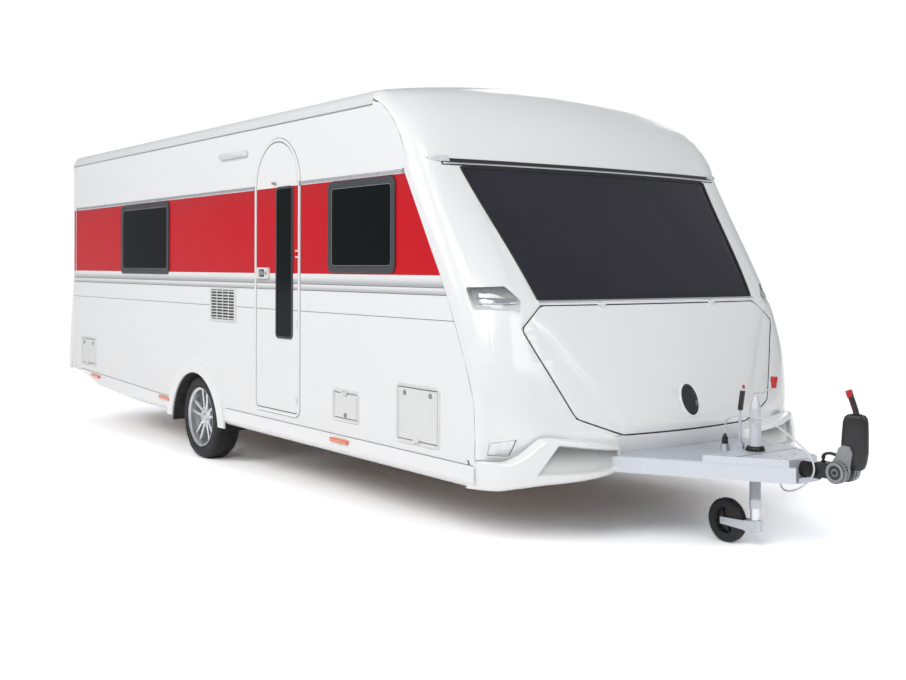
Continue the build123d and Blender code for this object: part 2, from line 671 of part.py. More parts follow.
# Its front view. Columns: inset from the side, height.
BUMPER_FACE = ((15, 470), (250, 597), (745, 526), (745, 398), (450, 385), (250, 370), (15, 380))
BUMPER_T = 40
BUMPER_RIM = 24  # width of the rim round the bumper's sunken face
BUMPER_SINK = 8
BEAM_END_X = DATUM_X + 3520
BEAM_TIP = (DATUM_X + 4732, 100)
RAIL_Y = 850
BEAM_H = 80
BEAM_W = 45
BEAM_T = 5
beam = Vector(BEAM_TIP[0] - BEAM_END_X, RAIL_Y - BEAM_TIP[1])
beam_in = Vector(-beam.Y, beam.X).normalized()


def beam_strip(width, out=0):
    """The plan of the right beam, from its outer edge inwards."""
    tail, tip = Vector(BEAM_END_X, -RAIL_Y), Vector(BEAM_TIP[0], -BEAM_TIP[1])
    outer, inner = beam_in * -out, beam_in * width
    outline(*[(p.X, p.Y) for p in (tail + outer, tip + outer, tip + inner, tail + inner)])


with BuildPart() as bumper_block:
    with BuildSketch(Plane.XY.offset(350)):
        outline(*[(DATUM_X + x, inset - HALF_WIDTH) for x, inset in (*BUMPER, (3604, 745))])
    extrude(amount=260)

with BuildPart() as bumper_sink:
    add(bumper_block.part)
    add(front_prism(right_side(BUMPER_FACE), inset=BUMPER_RIM), mode=Mode.INTERSECT)
    add(Pos(-BUMPER_SINK, 0, 0) * bumper_block.part, mode=Mode.SUBTRACT)

with BuildPart() as front_bumpers:
    add(bumper_block.part)
    add(front_prism(right_side(BUMPER_FACE)), mode=Mode.INTERSECT)
    add(bumper_sink.part, mode=Mode.SUBTRACT)
    add(front_solid.part, mode=Mode.SUBTRACT)
    with BuildSketch(Plane.XY.offset(FLOOR_Z - BEAM_H - 10)):
        beam_strip(BEAM_W + 10, out=10)
    extrude(amount=BEAM_H + 10, mode=Mode.SUBTRACT)
    with BuildSketch(Plane.XY.offset(350)):
        inner = [(x - 65, inset + BUMPER_T) for x, inset in BUMPER[1:-2]]
        inner += [(3870, 720), (3600, 720), (3600, 100)]
        outline(*[(DATUM_X + x, inset - HALF_WIDTH) for x, inset in inner])
    extrude(amount=FLOOR_Z - 350 + 20, mode=Mode.SUBTRACT)
    add(front_prism(LAMP, inset=-4), mode=Mode.SUBTRACT)
    mirror(about=Plane.XZ)

# ---------------------------------------------------------------- chassis
CHASSIS_H = 150
CHASSIS_W = 50
CHASSIS_T = 4
CHASSIS_REAR_X = REAR_X + 150
CROSS_X = (CHASSIS_REAR_X + 60, DATUM_X - 1200, DATUM_X + 900, DATUM_X + 2300, BEAM_END_X - 60)
CROSS_H = 80
CROSS_W = 40

with BuildPart() as chassis:
    with BuildSketch(Plane.YZ.offset(CHASSIS_REAR_X)):
        low, high = FLOOR_Z - CHASSIS_H, FLOOR_Z
        rect((-RAIL_Y, low), (-RAIL_Y + CHASSIS_T, high))
        rect((-RAIL_Y, low), (-RAIL_Y + CHASSIS_W, low + CHASSIS_T))
        rect((-RAIL_Y, high - CHASSIS_T), (-RAIL_Y + CHASSIS_W, high))
    extrude(amount=BEAM_END_X - CHASSIS_REAR_X)
    mirror(about=Plane.XZ)
    for x in CROSS_X:
        with BuildSketch(Plane.XY.offset(FLOOR_Z - CROSS_H)):
            rect((x, -RAIL_Y), (x + CHASSIS_T, RAIL_Y))
        extrude(amount=CROSS_H)
        with BuildSketch(Plane.XY.offset(FLOOR_Z - CROSS_H)):
            rect((x, -RAIL_Y), (x + CROSS_W, RAIL_Y))
        extrude(amount=CHASSIS_T)

TUBE_X = AXLE_X + 160
TUBE_Z = 275
TUBE_R = 50
ARM_Y = 905
ARM_T = 40
SPINDLE_R = 20
with BuildPart() as axle:
    with BuildSketch(Plane.XZ.offset(ARM_Y)):
        with Locations((TUBE_X, TUBE_Z)):
            RegularPolygon(TUBE_R, 6)
    extrude(amount=-2 * ARM_Y)
    for side in (-1, 1):
        with BuildSketch(Plane.XZ.offset(side * ARM_Y)):
            for x, z in ((TUBE_X, TUBE_Z), (AXLE_X, TYRE_R)):
                with Locations((x, z)):
                    RegularPolygon(50, 8)
            make_hull()
        extrude(amount=side * ARM_T)
        with BuildSketch(Plane.XZ.offset(side * (ARM_Y + ARM_T))):
            with Locations((AXLE_X, TYRE_R)):
                Circle(SPINDLE_R)
        extrude(amount=side * 172)
        with BuildSketch(Plane.XZ.offset(side * (RAIL_Y - 60))):
            rect((TUBE_X - 60, TUBE_Z), (TUBE_X + 60, FLOOR_Z - CHASSIS_H))
        extrude(amount=side * 60)

# ---------------------------------------------------------------- wheels
# Rims and tyres are many-sided rings, so that their facets stay few; the bearing is
# round.
WHEEL_SIDES = 40
HUB_SIDES = 20
RIM_W = 190
RIM_BED_R = 212
RIM_T = 8
FLANGE_T = 10
RIM_IN_Y = RIM_FACE_Y - RIM_W
HUB_FACE_Y = 1150
HUB_R = 75
DRUM_R = 122
DRUM_IN_Y = ARM_Y + ARM_T + 16
DRUM_L = 74
SPOKE_T = 35


def wheel_section(y, radius, hole=None, sides=WHEEL_SIDES):
    """A many-sided ring or disc in a plane across the right wheel's axle."""
    with BuildSketch(Plane((AXLE_X, -y, TYRE_R), x_dir=(1, 0, 0), z_dir=(0, -1, 0))) as section:
        RegularPolygon(radius, sides)
        if hole:
            RegularPolygon(hole, sides, mode=Mode.SUBTRACT)
    return section.sketch


with BuildPart() as rim_right:
    for y, width, radius in (
        (RIM_IN_Y, FLANGE_T, RIM_R),
        (RIM_IN_Y, RIM_W, RIM_BED_R),
        (RIM_FACE_Y - FLANGE_T, FLANGE_T, RIM_R),
    ):
        extrude(wheel_section(y, radius, hole=RIM_BED_R - RIM_T), amount=width)
    for y, width, radius in ((DRUM_IN_Y, DRUM_L, DRUM_R), (DRUM_IN_Y, HUB_FACE_Y - DRUM_IN_Y, HUB_R)):
        extrude(wheel_section(y, radius, sides=HUB_SIDES), amount=width)
    with BuildSketch(Plane((AXLE_X, -HUB_FACE_Y + 25, TYRE_R), x_dir=(1, 0, 0), z_dir=(0, -1, 0))):
        with PolarLocations(0, 5):
            for lean in (-1, 1):
                spoke = (HUB_R - 8, 12), (RIM_BED_R - 10, 30), (RIM_BED_R - 10, 52), (HUB_R - 8, 34)
                Polygon(*[(x, lean * y) for x, y in spoke], align=None)
    extrude(amount=SPOKE_T)
    with Locations(Location((AXLE_X, -DRUM_IN_Y, TYRE_R), (90, 0, 0))):
        Cylinder(SPINDLE_R + PIN_GAP, 2 * RIM_W, mode=Mode.SUBTRACT)

# The tyre from its middle plane outwards. Columns: width of a band, its taper.
TYRE_BANDS = ((TYRE_W / 2 - 36, 0), (27, 45), (9, 66))
BEAD_Y = RIM_W / 2 - FLANGE_T - PIN_GAP  # where the bead meets the rim's flange
with BuildPart() as tyre_right:
    middle = RIM_FACE_Y - RIM_W / 2
    y, radius = 0, TYRE_R
    for width, slope in TYRE_BANDS:
        extrude(wheel_section(middle + y, radius), amount=width, taper=slope)
        y, radius = y + width, radius - width * tan(radians(slope)) / cos(pi / WHEEL_SIDES)
    mirror(about=Plane.XZ.offset(middle))
    for y, radius in ((-TYRE_W / 2, RIM_BED_R), (BEAD_Y, RIM_R + 2), (-TYRE_W / 2, RIM_R + 2)):
        width = TYRE_W if radius == RIM_BED_R else TYRE_W / 2 - BEAD_Y
        extrude(wheel_section(middle + y, radius), amount=width, mode=Mode.SUBTRACT)

with BuildPart() as rim_left:
    mirror(rim_right.part, about=Plane.XZ)
with BuildPart() as tyre_left:
    mirror(tyre_right.part, about=Plane.XZ)

# ---------------------------------------------------------------- drawbar
JOCKEY_X = DATUM_X + 4400
JOCKEY_R = 30
TIP_X = DATUM_X + 4560

with BuildPart() as drawbar:
    for z, height, width in (
        (FLOOR_Z - BEAM_H, BEAM_H, BEAM_T),
        (FLOOR_Z - BEAM_H, BEAM_T, BEAM_W),
        (FLOOR_Z - BEAM_T, BEAM_T, BEAM_W),
    ):
        with BuildSketch(Plane.XY.offset(z)):
            beam_strip(width)
        extrude(amount=height)
    with BuildSketch(Plane.XY.offset(FLOOR_Z - BEAM_H)):
        rect((BEAM_END_X - 100, -RAIL_Y - 10), (BEAM_END_X, 0))
    extrude(amount=BEAM_H, mode=Mode.SUBTRACT)
    mirror(about=Plane.XZ)
    for x, width, low in ((JOCKEY_X - 45, 90, 40), (DATUM_X + 4160, 140, 40)):
        reach = BEAM_TIP[1] + (BEAM_TIP[0] - x - width) * (RAIL_Y - BEAM_TIP[1]) / (BEAM_TIP[0] - BEAM_END_X)
        with BuildSketch(Plane.XY.offset(FLOOR_Z - low)):
            rect((x, -reach + BEAM_T), (x + width, reach - BEAM_T))
        extrude(amount=low)
    with BuildSketch(Plane.XY.offset(FLOOR_Z - BEAM_H)):
        rect((TIP_X, -75), (BEAM_TIP[0], 75))
    extrude(amount=27)
    with BuildSketch(Plane.XY.offset(FLOOR_Z - BEAM_H)):
        with Locations((JOCKEY_X, 0)):
            Circle(JOCKEY_R)
    extrude(amount=BEAM_H, mode=Mode.SUBTRACT)

COVER_T = 5
COVER_H = 38
COVER_X = DATUM_X + 4336
with BuildPart() as drawbar_cover:
    with BuildSketch(Plane.XY.offset(FLOOR_Z)):
        outline((COVER_X, -340), (DATUM_X + 4700, -115), (DATUM_X + 4700, 115), (COVER_X, 340))
    extrude(amount=COVER_H)
    with BuildSketch(Plane.XY.offset(FLOOR_Z)):
        inside = [(COVER_X + COVER_T, -328), (DATUM_X + 4695, -106)]
        outline(*inside, *[(x, -y) for x, y in reversed(inside)])
    extrude(amount=COVER_H - COVER_T, mode=Mode.SUBTRACT)
    with Locations((JOCKEY_X, 0, FLOOR_Z)):
        Cylinder(JOCKEY_R, 200, mode=Mode.SUBTRACT)

with BuildPart() as overrun_housing:
    with BuildSketch(Plane.YZ.offset(TIP_X)):
        rect((-52, FLOOR_Z - BEAM_H + 27), (52, FLOOR_Z))
    extrude(amount=DATUM_X + 4700 - TIP_X)

BELLOWS_X = DATUM_X + 4700
BELLOWS_Z = 465
BELLOWS_R = (33, 39)  # in the folds and on them
BELLOWS_FOLDS = 10
BELLOWS_PITCH = 10
with BuildPart() as bellows:
    for fold in range(BELLOWS_FOLDS):
        with BuildSketch(Plane.YZ.offset(BELLOWS_X + fold * BELLOWS_PITCH)):
            with Locations((0, BELLOWS_Z)):
                RegularPolygon(BELLOWS_R[fold % 2], 16)
        extrude(amount=BELLOWS_PITCH)

BALL_R = 25.2
BALL_X = DATUM_X + 4930
BALL_Z = 455
HEAD_LOW_Z = 440
PAD_R = 54  # housings of the stabiliser's friction pads
PAD_Z = 482
with BuildPart() as coupling_head:
    with BuildSketch(Plane.XY.offset(HEAD_LOW_Z)):
        rect((DATUM_X + 4800, -32), (BALL_X, 32))
        with Locations((BALL_X, 0)):
            RegularPolygon(46, 16)
    extrude(amount=75)
    for side in (-1, 1):
        with BuildSketch(Plane.XZ.offset(side * 30)):
            with Locations((BALL_X, PAD_Z)):
                RegularPolygon(PAD_R, 20)
        extrude(amount=side * 38)
    with BuildSketch(Plane.XZ.offset(0)):
        outline(
            (BALL_X, HEAD_LOW_Z - 40),
            (BALL_X + BALL_R, HEAD_LOW_Z - 40),
            (BALL_X + BALL_R, BALL_Z + 10),
            (BALL_X + 0.6 * BALL_R, BALL_Z + 0.8 * BALL_R),
            (BALL_X, BALL_Z + 0.8 * BALL_R),
        )
    revolve(axis=Axis((BALL_X, 0, 0), (0, 0, 1)), mode=Mode.SUBTRACT)

# Side views of the coupling's handle and of its lever. Columns: x from DATUM_X, height.
HANDLE = ((4905, 518), (5040, 518), (5085, 600), (5060, 735), (5020, 770), (4985, 740), (4910, 700))
LEVER = ((5020, 765), (4972, 885), (4945, 878), (4990, 742))
with BuildPart() as coupling_handle:
    for side_view, width in ((HANDLE, 40), (LEVER, 18)):
        with BuildSketch(Plane.XZ):
            outline(*[(DATUM_X + x, z) for x, z in side_view])
        extrude(amount=width / 2, both=True)

# Side view of the handbrake lever. Columns: x from DATUM_X, height.
BRAKE = ((4226, 478), (4330, 478), (4324, 540), (4314, 700), (4334, 850), (4308, 852), (4286, 700), (4282, 540))
with BuildPart() as handbrake_lever:
    with BuildSketch(Plane.XZ):
        outline(*[(DATUM_X + x, z) for x, z in BRAKE])
    extrude(amount=8, both=True)

# ---------------------------------------------------------------- jockey wheel
JOCKEY_BOTTOM_Z = 214
JOCKEY_TOP_Z = 740
LEG_R = 24
TUBE_SIDES = 16
JWHEEL_R = 118
JWHEEL_W = 52
JWHEEL_X = DATUM_X + 4215
with BuildPart() as jockey_tube:
    with BuildSketch(Plane.XY.offset(JOCKEY_BOTTOM_Z)):
        with Locations((JOCKEY_X, 0)):
            RegularPolygon(JOCKEY_R, TUBE_SIDES)
            RegularPolygon(LEG_R + PIN_GAP, TUBE_SIDES, mode=Mode.SUBTRACT)
    extrude(amount=JOCKEY_TOP_Z - JOCKEY_BOTTOM_Z)
    for z, radius in ((JOCKEY_TOP_Z, JOCKEY_R), (JOCKEY_TOP_Z + 60, 12)):
        with BuildSketch(Plane.XY.offset(z)):
            with Locations((JOCKEY_X, 0)):
                RegularPolygon(radius, TUBE_SIDES)
    loft(ruled=True)

CRANK_Z = JOCKEY_TOP_Z + 78
CRANK_REACH = 150
with BuildPart() as jockey_crank:
    with BuildSketch(Plane.XY.offset(JOCKEY_TOP_Z + 60)):
        with Locations((JOCKEY_X, 0)):
            RegularPolygon(12, 8)
    extrude(amount=25)
    with BuildSketch(Plane.YZ.offset(JOCKEY_X)):
        with Locations((0, CRANK_Z)):
            RegularPolygon(7, 8)
    extrude(amount=CRANK_REACH)
    with BuildSketch(Plane.XY.offset(CRANK_Z)):
        with Locations((JOCKEY_X + CRANK_REACH - 10, 0)):
            RegularPolygon(14, 8)
    extrude(amount=60)

FORK_TOP_Z = 150
SPIGOT_R = 12
with BuildPart() as jockey_leg:
    with BuildSketch(Plane.XY.offset(FORK_TOP_Z + PIN_GAP)):
        with Locations((JOCKEY_X, 0)):
            RegularPolygon(LEG_R, TUBE_SIDES)
    extrude(amount=440)
    with BuildSketch(Plane.XY.offset(95)):
        with Locations((JOCKEY_X, 0)):
            Circle(SPIGOT_R)
    extrude(amount=FORK_TOP_Z + PIN_GAP - 95)

FORK_LOW_Z = 86
CHEEK_T = 5
CHEEK_Y = JWHEEL_W / 2 + 6
with BuildPart() as jockey_fork:
    with BuildSketch(Plane.XY.offset(FORK_LOW_Z)):
        with Locations((JOCKEY_X, 0)):
            RegularPolygon(LEG_R + 8, 12)
    extrude(amount=FORK_TOP_Z - FORK_LOW_Z)
    for side in (-1, 1):
        with BuildSketch(Plane.XZ.offset(side * CHEEK_Y)):
            outline(
                (JWHEEL_X - 20, JWHEEL_R - 18),
                (JWHEEL_X - 20, JWHEEL_R + 18),
                (JOCKEY_X + 24, 145),
                (JOCKEY_X + 24, 90),
            )
        extrude(amount=side * CHEEK_T)
    with BuildSketch(Plane.XY.offset(90)):
        rect((JOCKEY_X - 45, -CHEEK_Y - CHEEK_T), (JOCKEY_X + 24, CHEEK_Y + CHEEK_T))
    extrude(amount=55)
    with BuildSketch(Plane.XY.offset(80)):
        with Locations((JOCKEY_X, 0)):
            Circle(SPIGOT_R + PIN_GAP)
    extrude(amount=FORK_TOP_Z - 80, mode=Mode.SUBTRACT)
    with Locations(Location((JWHEEL_X, 0, JWHEEL_R), (90, 0, 0))):
        Cylinder(8, 2 * CHEEK_Y)

JWHEEL_SIDES = 36
JWHEEL_SHOULDER = 10
JWHEEL_DISH = 14
with BuildPart() as jockey_wheel:
    half = JWHEEL_W / 2
    with BuildSketch(Plane.XZ.offset(-half)):
        with Locations((JWHEEL_X, JWHEEL_R)):
            RegularPolygon(JWHEEL_R, JWHEEL_SIDES)
    extrude(amount=JWHEEL_W)
    chamfer(jockey_wheel.faces().sort_by(Axis.Y)[0].edges(), JWHEEL_SHOULDER)
    chamfer(jockey_wheel.faces().sort_by(Axis.Y)[-1].edges(), JWHEEL_SHOULDER)
    for side in (-1, 1):
        with BuildSketch(Plane.XZ.offset(side * half)):
            with Locations((JWHEEL_X, JWHEEL_R)):
                RegularPolygon(78, 18)
                RegularPolygon(46, 18, mode=Mode.SUBTRACT)
        extrude(amount=-side * JWHEEL_DISH, mode=Mode.SUBTRACT)
    with Locations(Location((JWHEEL_X, 0, JWHEEL_R), (90, 0, 0))):
        Cylinder(8 + PIN_GAP, JWHEEL_W, mode=Mode.SUBTRACT)

# ---------------------------------------------------------------- corner steadies
STEADY_L = 430
STEADY_W = 60
STEADY_Y = 1010
STEADY_Z = FLOOR_Z - 60
# Columns: node, pivot x, direction of the folded arm, side.
STEADIES = (
    ("steady_front_right", DATUM_X + 3150, -1, -1),
    ("steady_front_left", DATUM_X + 3150, -1, 1),
    ("steady_rear_right", DATUM_X - 2450, 1, -1),
    ("steady_rear_left", DATUM_X - 2450, 1, 1),
)
steadies = {}
for node, x, way, side in STEADIES:
    with BuildPart() as steady:
        with BuildSketch(Plane.XZ.offset(-side * STEADY_Y + STEADY_W / 2)):
            with Locations((x, STEADY_Z)):
                Circle(16)
            rect(*sorted(((x, STEADY_Z - 12), (x + way * STEADY_L, STEADY_Z + 12))))
        extrude(amount=-STEADY_W)
        with Locations((x + way * STEADY_L, side * STEADY_Y, STEADY_Z)):
            Box(16, 120, 90)
    steadies[node] = steady

BRACKET_T = 6
with BuildPart() as steady_brackets:
    for node, x, way, side in STEADIES:
        for inner in (-1, 1):
            face = -side * STEADY_Y + inner * (STEADY_W / 2 + 6)
            with BuildSketch(Plane.XZ.offset(face)):
                rect((x - 40, STEADY_Z - 25), (x + 40, FLOOR_Z))
            extrude(amount=inner * BRACKET_T)

# ---------------------------------------------------------------- plug and cable
PLUG_X = DATUM_X + 4197
HOLDER_R = 26
PLUG_R = 17.5
with BuildPart() as plug_holder:
    with BuildSketch(Plane.XY.offset(FLOOR_Z)):
        with Locations((PLUG_X, 0)):
            RegularPolygon(HOLDER_R, 16)
            RegularPolygon(PLUG_R + PIN_GAP, 16, mode=Mode.SUBTRACT)
    extrude(amount=50)
PLUG_TOP_Z = FLOOR_Z + 104
with BuildPart() as plug:
    with BuildSketch(Plane.XY.offset(FLOOR_Z + 4)):
        with Locations((PLUG_X, 0)):
            RegularPolygon(PLUG_R, 16)
    extrude(amount=60)
    with BuildSketch(Plane.XY.offset(FLOOR_Z + 64)):
        with Locations((PLUG_X, 0)):
            RegularPolygon(PLUG_R - 2, 16)
    extrude(amount=PLUG_TOP_Z - FLOOR_Z - 64, taper=10)

# The connector lead, from the parked plug over the drawbar and back up into the tip
# plate. Columns: x from DATUM_X, y, z.
CABLE_R = 4.5
CABLE = (
    (4197, 0, PLUG_TOP_Z),
    (4197, 0, 620),
    (4227, -24, 664),
    (4292, -50, 690),
    (4370, -66, 702),
    (4455, -72, 703),
    (4535, -74, 692),
    (4605, -75, 668),
    (4668, -77, 636),
    (4728, -81, 603),
    (4786, -85, 567),
    (4824, -87, 520),
    (4828, -84, 474),
    (4802, -78, 432),
    (4758, -70, 396),
    (4710, -62, 366),
    (4660, -52, 348),
    (4618, -43, 344),
    (4590, -37, 363),
    (4590, -37, FLOOR_Z - BEAM_H),
)


def cable_radii(points):
    """As large an arc at each corner as its two runs allow."""
    radii = []
    for before, here, after in zip(points, points[1:], points[2:]):
        run_in, run_out = here - before, after - here
        turn = radians(run_in.get_angle(run_out))
        radii.append(0.45 * min(run_in.length, run_out.length) / tan(turn / 2))
    return radii


cable_points = [Vector(DATUM_X + x, y, z) for x, y, z in CABLE]
with BuildPart() as cable:
    with BuildLine() as cable_route:
        FilletPolyline(*cable_points, radius=cable_radii(cable_points))
    with BuildSketch(Plane(cable_route.line @ 0, z_dir=cable_route.line % 0)) as cable_section:
        RegularPolygon(CABLE_R, 6)
    sweep()
cable_length = sum(edge.length for edge in cable_route.edges())
print("cable length", round(cable_length), "radii", [round(r) for r in cable_radii(cable_points)])
cable_area = cable_section.sketch.area
print("cable volume over section times length", cable.part.volume / (cable_length * cable_area))

# ---------------------------------------------------------------- files
for node, piece in {
    "side_wall_right": side_wall_right,
    "side_wall_left": side_wall_left,
    "roof": roof,
    "floor": floor,
    "wheel_boxes": wheel_boxes,
    "front_moulding": front_moulding,
    "windscreen": windscreen,
    "locker_lid": locker_lid,
    "locker_handle": locker_handle,
    "locker_box": locker_box,
    "corner_grips": corner_grips,
    "front_lamps": front_lamps,
    "front_bumpers": front_bumpers,
    "rear_moulding": rear_moulding,
    "rear_lamps": rear_lamps,
    "window_frames": window_frames,
    "window_panes": window_panes,
    "door_frame": door_frame,
    "entrance_door": entrance_door,
    "door_window": door_window,
    "door_handle": door_handle,
    "hatch_frames": hatch_frames,
    **hatches,
    "side_skirts": side_skirts,
    "arch_trims": arch_trims,
    "awning_rails": awning_rails,
    "side_vents": side_vents,
    "side_markers": side_markers,
    "awning_lamp": awning_lamp,
    "roof_lights": roof_lights,
    "chassis": chassis,
    "axle": axle,
    "rim_right": rim_right,
    "rim_left": rim_left,
    "tyre_right": tyre_right,
    "tyre_left": tyre_left,
    "drawbar": drawbar,
    "drawbar_cover": drawbar_cover,
    "overrun_housing": overrun_housing,
    "bellows": bellows,
    "coupling_head": coupling_head,
    "coupling_handle": coupling_handle,
    "handbrake_lever": handbrake_lever,
    "jockey_tube": jockey_tube,
    "jockey_crank": jockey_crank,
    "jockey_leg": jockey_leg,
    "jockey_fork": jockey_fork,
    "jockey_wheel": jockey_wheel,
    **steadies,
    "steady_brackets": steady_brackets,
    "plug_holder": plug_holder,
    "plug": plug,
    "cable": cable,
}.items():
    save(piece, node)
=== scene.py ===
"""The finished look of a single-axle touring caravan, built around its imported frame.

Metres. +X points at the towing vehicle, +Y to the left side, +Z up, the floor is at
Z = 0. Every piece rides on a body of the frame, and every finish is a node material
that reads Object coordinates.
"""

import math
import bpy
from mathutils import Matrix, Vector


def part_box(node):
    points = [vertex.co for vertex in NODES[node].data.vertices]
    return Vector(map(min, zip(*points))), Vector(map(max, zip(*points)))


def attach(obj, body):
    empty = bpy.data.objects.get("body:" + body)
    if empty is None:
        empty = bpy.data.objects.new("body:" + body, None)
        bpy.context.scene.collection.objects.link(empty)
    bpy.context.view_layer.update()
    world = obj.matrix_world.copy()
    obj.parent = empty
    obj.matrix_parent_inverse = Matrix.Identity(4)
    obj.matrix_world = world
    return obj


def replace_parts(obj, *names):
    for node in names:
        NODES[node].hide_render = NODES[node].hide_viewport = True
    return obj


bl_info = {
    "name": "Touring caravan finish",
    "version": (1, 0, 0),
    "blender": (4, 5, 0),
    "location": "View3D > Sidebar > Caravan",
    "description": "Trim, tyres, fittings and finishes of a touring caravan",
    "category": "Add Mesh",
}

from functools import cache, partial

import bmesh
import bpy
import numpy as np
from mathutils import Matrix, Vector

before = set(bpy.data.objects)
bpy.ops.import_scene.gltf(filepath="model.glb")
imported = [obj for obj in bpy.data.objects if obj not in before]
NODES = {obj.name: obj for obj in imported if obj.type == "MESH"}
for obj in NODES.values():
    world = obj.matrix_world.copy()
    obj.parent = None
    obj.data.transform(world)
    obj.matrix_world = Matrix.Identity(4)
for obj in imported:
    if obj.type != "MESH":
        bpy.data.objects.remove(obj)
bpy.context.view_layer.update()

# ------------------------------------------------------------------ places
DATUM_X = -1.08  # the body's own datum, near the axle
HALF_WIDTH = 1.25
FLOOR_Z = .478  # underside of the caravan's floor
EAVE_Z = 2.45
ROOT = "root"


def middle(node):
    """Middle of a CAD node's box."""
    low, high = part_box(node)
    return (low + high) / 2


# ------------------------------------------------------------------ settings
def srgb(red, green, blue):
    """Linear colour of a screen colour whose channels run from 0 to 255."""
    return tuple(
        c / 12.92 if c <= .04045 else ((c + .055) / 1.055) ** 2.4
        for c in (red / 255, green / 255, blue / 255)
    )


def colour(name, about, value):
    """A colour setting."""
    return bpy.props.FloatVectorProperty(name=name, description=about, default=value, size=3,
                                         min=0, max=1, subtype="COLOR")


def size(name, about, value):
    """A length setting, in metres."""
    return bpy.props.FloatProperty(name=name, description=about, default=value, min=0, unit="LENGTH")


class CaravanColours(bpy.types.PropertyGroup):
    """Colours of the caravan's finishes."""

    body: colour("Body", "Painted side walls and mouldings", srgb(247, 247, 246))
    band: colour("Band", "Broad band along the windows", srgb(208, 16, 32))
    stripe: colour("Stripe", "Dark end of the two graded stripes", srgb(176, 178, 180))
    line: colour("Line", "Thin lines under the stripes", srgb(105, 107, 110))
    glass: colour("Glass", "Tinted acrylic of the windows", srgb(16, 20, 21))
    screen: colour("Screen", "Tinted acrylic of the front window", srgb(48, 46, 55))
    frame_grey: colour("Window frame", "Plastic frame of the windows", srgb(50, 54, 58))
    steel: colour("Galvanised", "Hot-dip zinc on the chassis", srgb(213, 217, 223))
    accent: colour("Accent", "Red grips of the levers and the crank", srgb(190, 20, 34))


class CaravanSizes(bpy.types.PropertyGroup):
    """Sizes of the painted pattern and the fitted trim."""

    band_low: size("Band foot", "Height of the band's lower edge", 1.43)
    band_high: size("Band head", "Height of the band's upper edge", 2.005)
    lead_diameter: size("Lead diameter", "Diameter of the connector lead", .009)
    groove_depth: size("Tread depth", "Depth of the tyre's grooves", .007)


# ------------------------------------------------------------------ shader maths
class Val:
    """A shader socket on which Python's operators add Math nodes."""

    def __init__(self, finish, socket):
        self.finish, self.socket = finish, socket

    def _math(self, operation, first, second):
        return self.finish.add("ShaderNodeMath", {"operation": operation}, {0: first, 1: second})

    def __add__(self, other):
        return self._math("ADD", self, other)

    def __sub__(self, other):
        return self._math("SUBTRACT", self, other)

    def __rsub__(self, other):
        return self._math("SUBTRACT", other, self)

    def __mul__(self, other):
        return self._math("MULTIPLY", self, other)

    __radd__ = __add__
    __rmul__ = __mul__

    def highest(self, other):
        return self._math("MAXIMUM", self, other)

    def lowest(self, other):
        return self._math("MINIMUM", self, other)

    def wave(self):
        """Sine of the value."""
        return self.finish.add("ShaderNodeMath", {"operation": "SINE"}, {0: self})

    def ramp(self, start, end):
        """0 up to start, 1 from end, smooth between them."""
        return self.finish.add(
            "ShaderNodeMapRange", {"interpolation_type": "SMOOTHSTEP"},
            {"Value": self, "From Min": start, "From Max": end},
        )

    def between(self, low, high, edge=.0006):
        """1 between two values, with sharp but smooth ends."""
        return self.ramp(low - edge, low + edge) * (1 - self.ramp(high - edge, high + edge))


class Finish:
    """A node material, with one method that makes any of its nodes."""

    def __init__(self, name):
        self.material = bpy.data.materials.new(name)
        self.material.use_nodes = True
        self.tree = self.material.node_tree
        self.tree.nodes.clear()
        self.place = self.add("ShaderNodeTexCoord", output="Object")

    def add(self, kind, settings=None, inputs=None, output=0):
        """A node from its type, its settings and the values or links of its sockets."""
        node = self.tree.nodes.new(kind)
        for key, value in (settings or {}).items():
            setattr(node, key, value)
        for key, value in (inputs or {}).items():
            socket = node.inputs[key]
            if isinstance(value, Val):
                self.tree.links.new(value.socket, socket)
            elif socket.type == "RGBA" and len(value) == 3:
                socket.default_value = (*value, 1)
            else:
                socket.default_value = value
        return Val(self, node.outputs[output]) if node.outputs else None

    def axes(self):
        """X, Y and Z of the place on the object."""
        split = self.add("ShaderNodeSeparateXYZ", inputs={0: self.place})
        return [Val(self, split.socket.node.outputs[i]) for i in range(3)]

    def mix(self, factor, first, second):
        """A colour between two."""
        return self.add("ShaderNodeMix", {"data_type": "RGBA"},
                        {0: factor, 6: first, 7: second}, output=2)

    def noise(self, scale, detail=3.0, stretch=None, rough=.55):
        """Soft noise from 0 to 1, stretched along an axis if asked."""
        place = self.place
        if stretch:
            place = self.add("ShaderNodeMapping", inputs={"Vector": place, "Scale": stretch})
        return self.add("ShaderNodeTexNoise", inputs={
            "Vector": place, "Scale": scale, "Detail": detail, "Roughness": rough})

    def bump(self, height, distance, strength=1.0):
        """A normal that follows a height, of that many metres at 1."""
        return self.add("ShaderNodeBump", inputs={
            "Height": height, "Distance": distance, "Strength": strength})

    def surface(self, colour, rough, normal, **inputs):
        """The shader: names are the sockets' own, with _ for a space."""
        inputs = {"Base_Color": colour, "Roughness": rough, "Normal": normal, **inputs}
        shader = self.add("ShaderNodeBsdfPrincipled",
                          inputs={k.replace("_", " "): v for k, v in inputs.items()})
        self.add("ShaderNodeOutputMaterial", inputs={"Surface": shader})
        return self.material


@cache
def finish_of(name):
    """The material that a maker function gives, made once."""
    return FINISHES[name]()


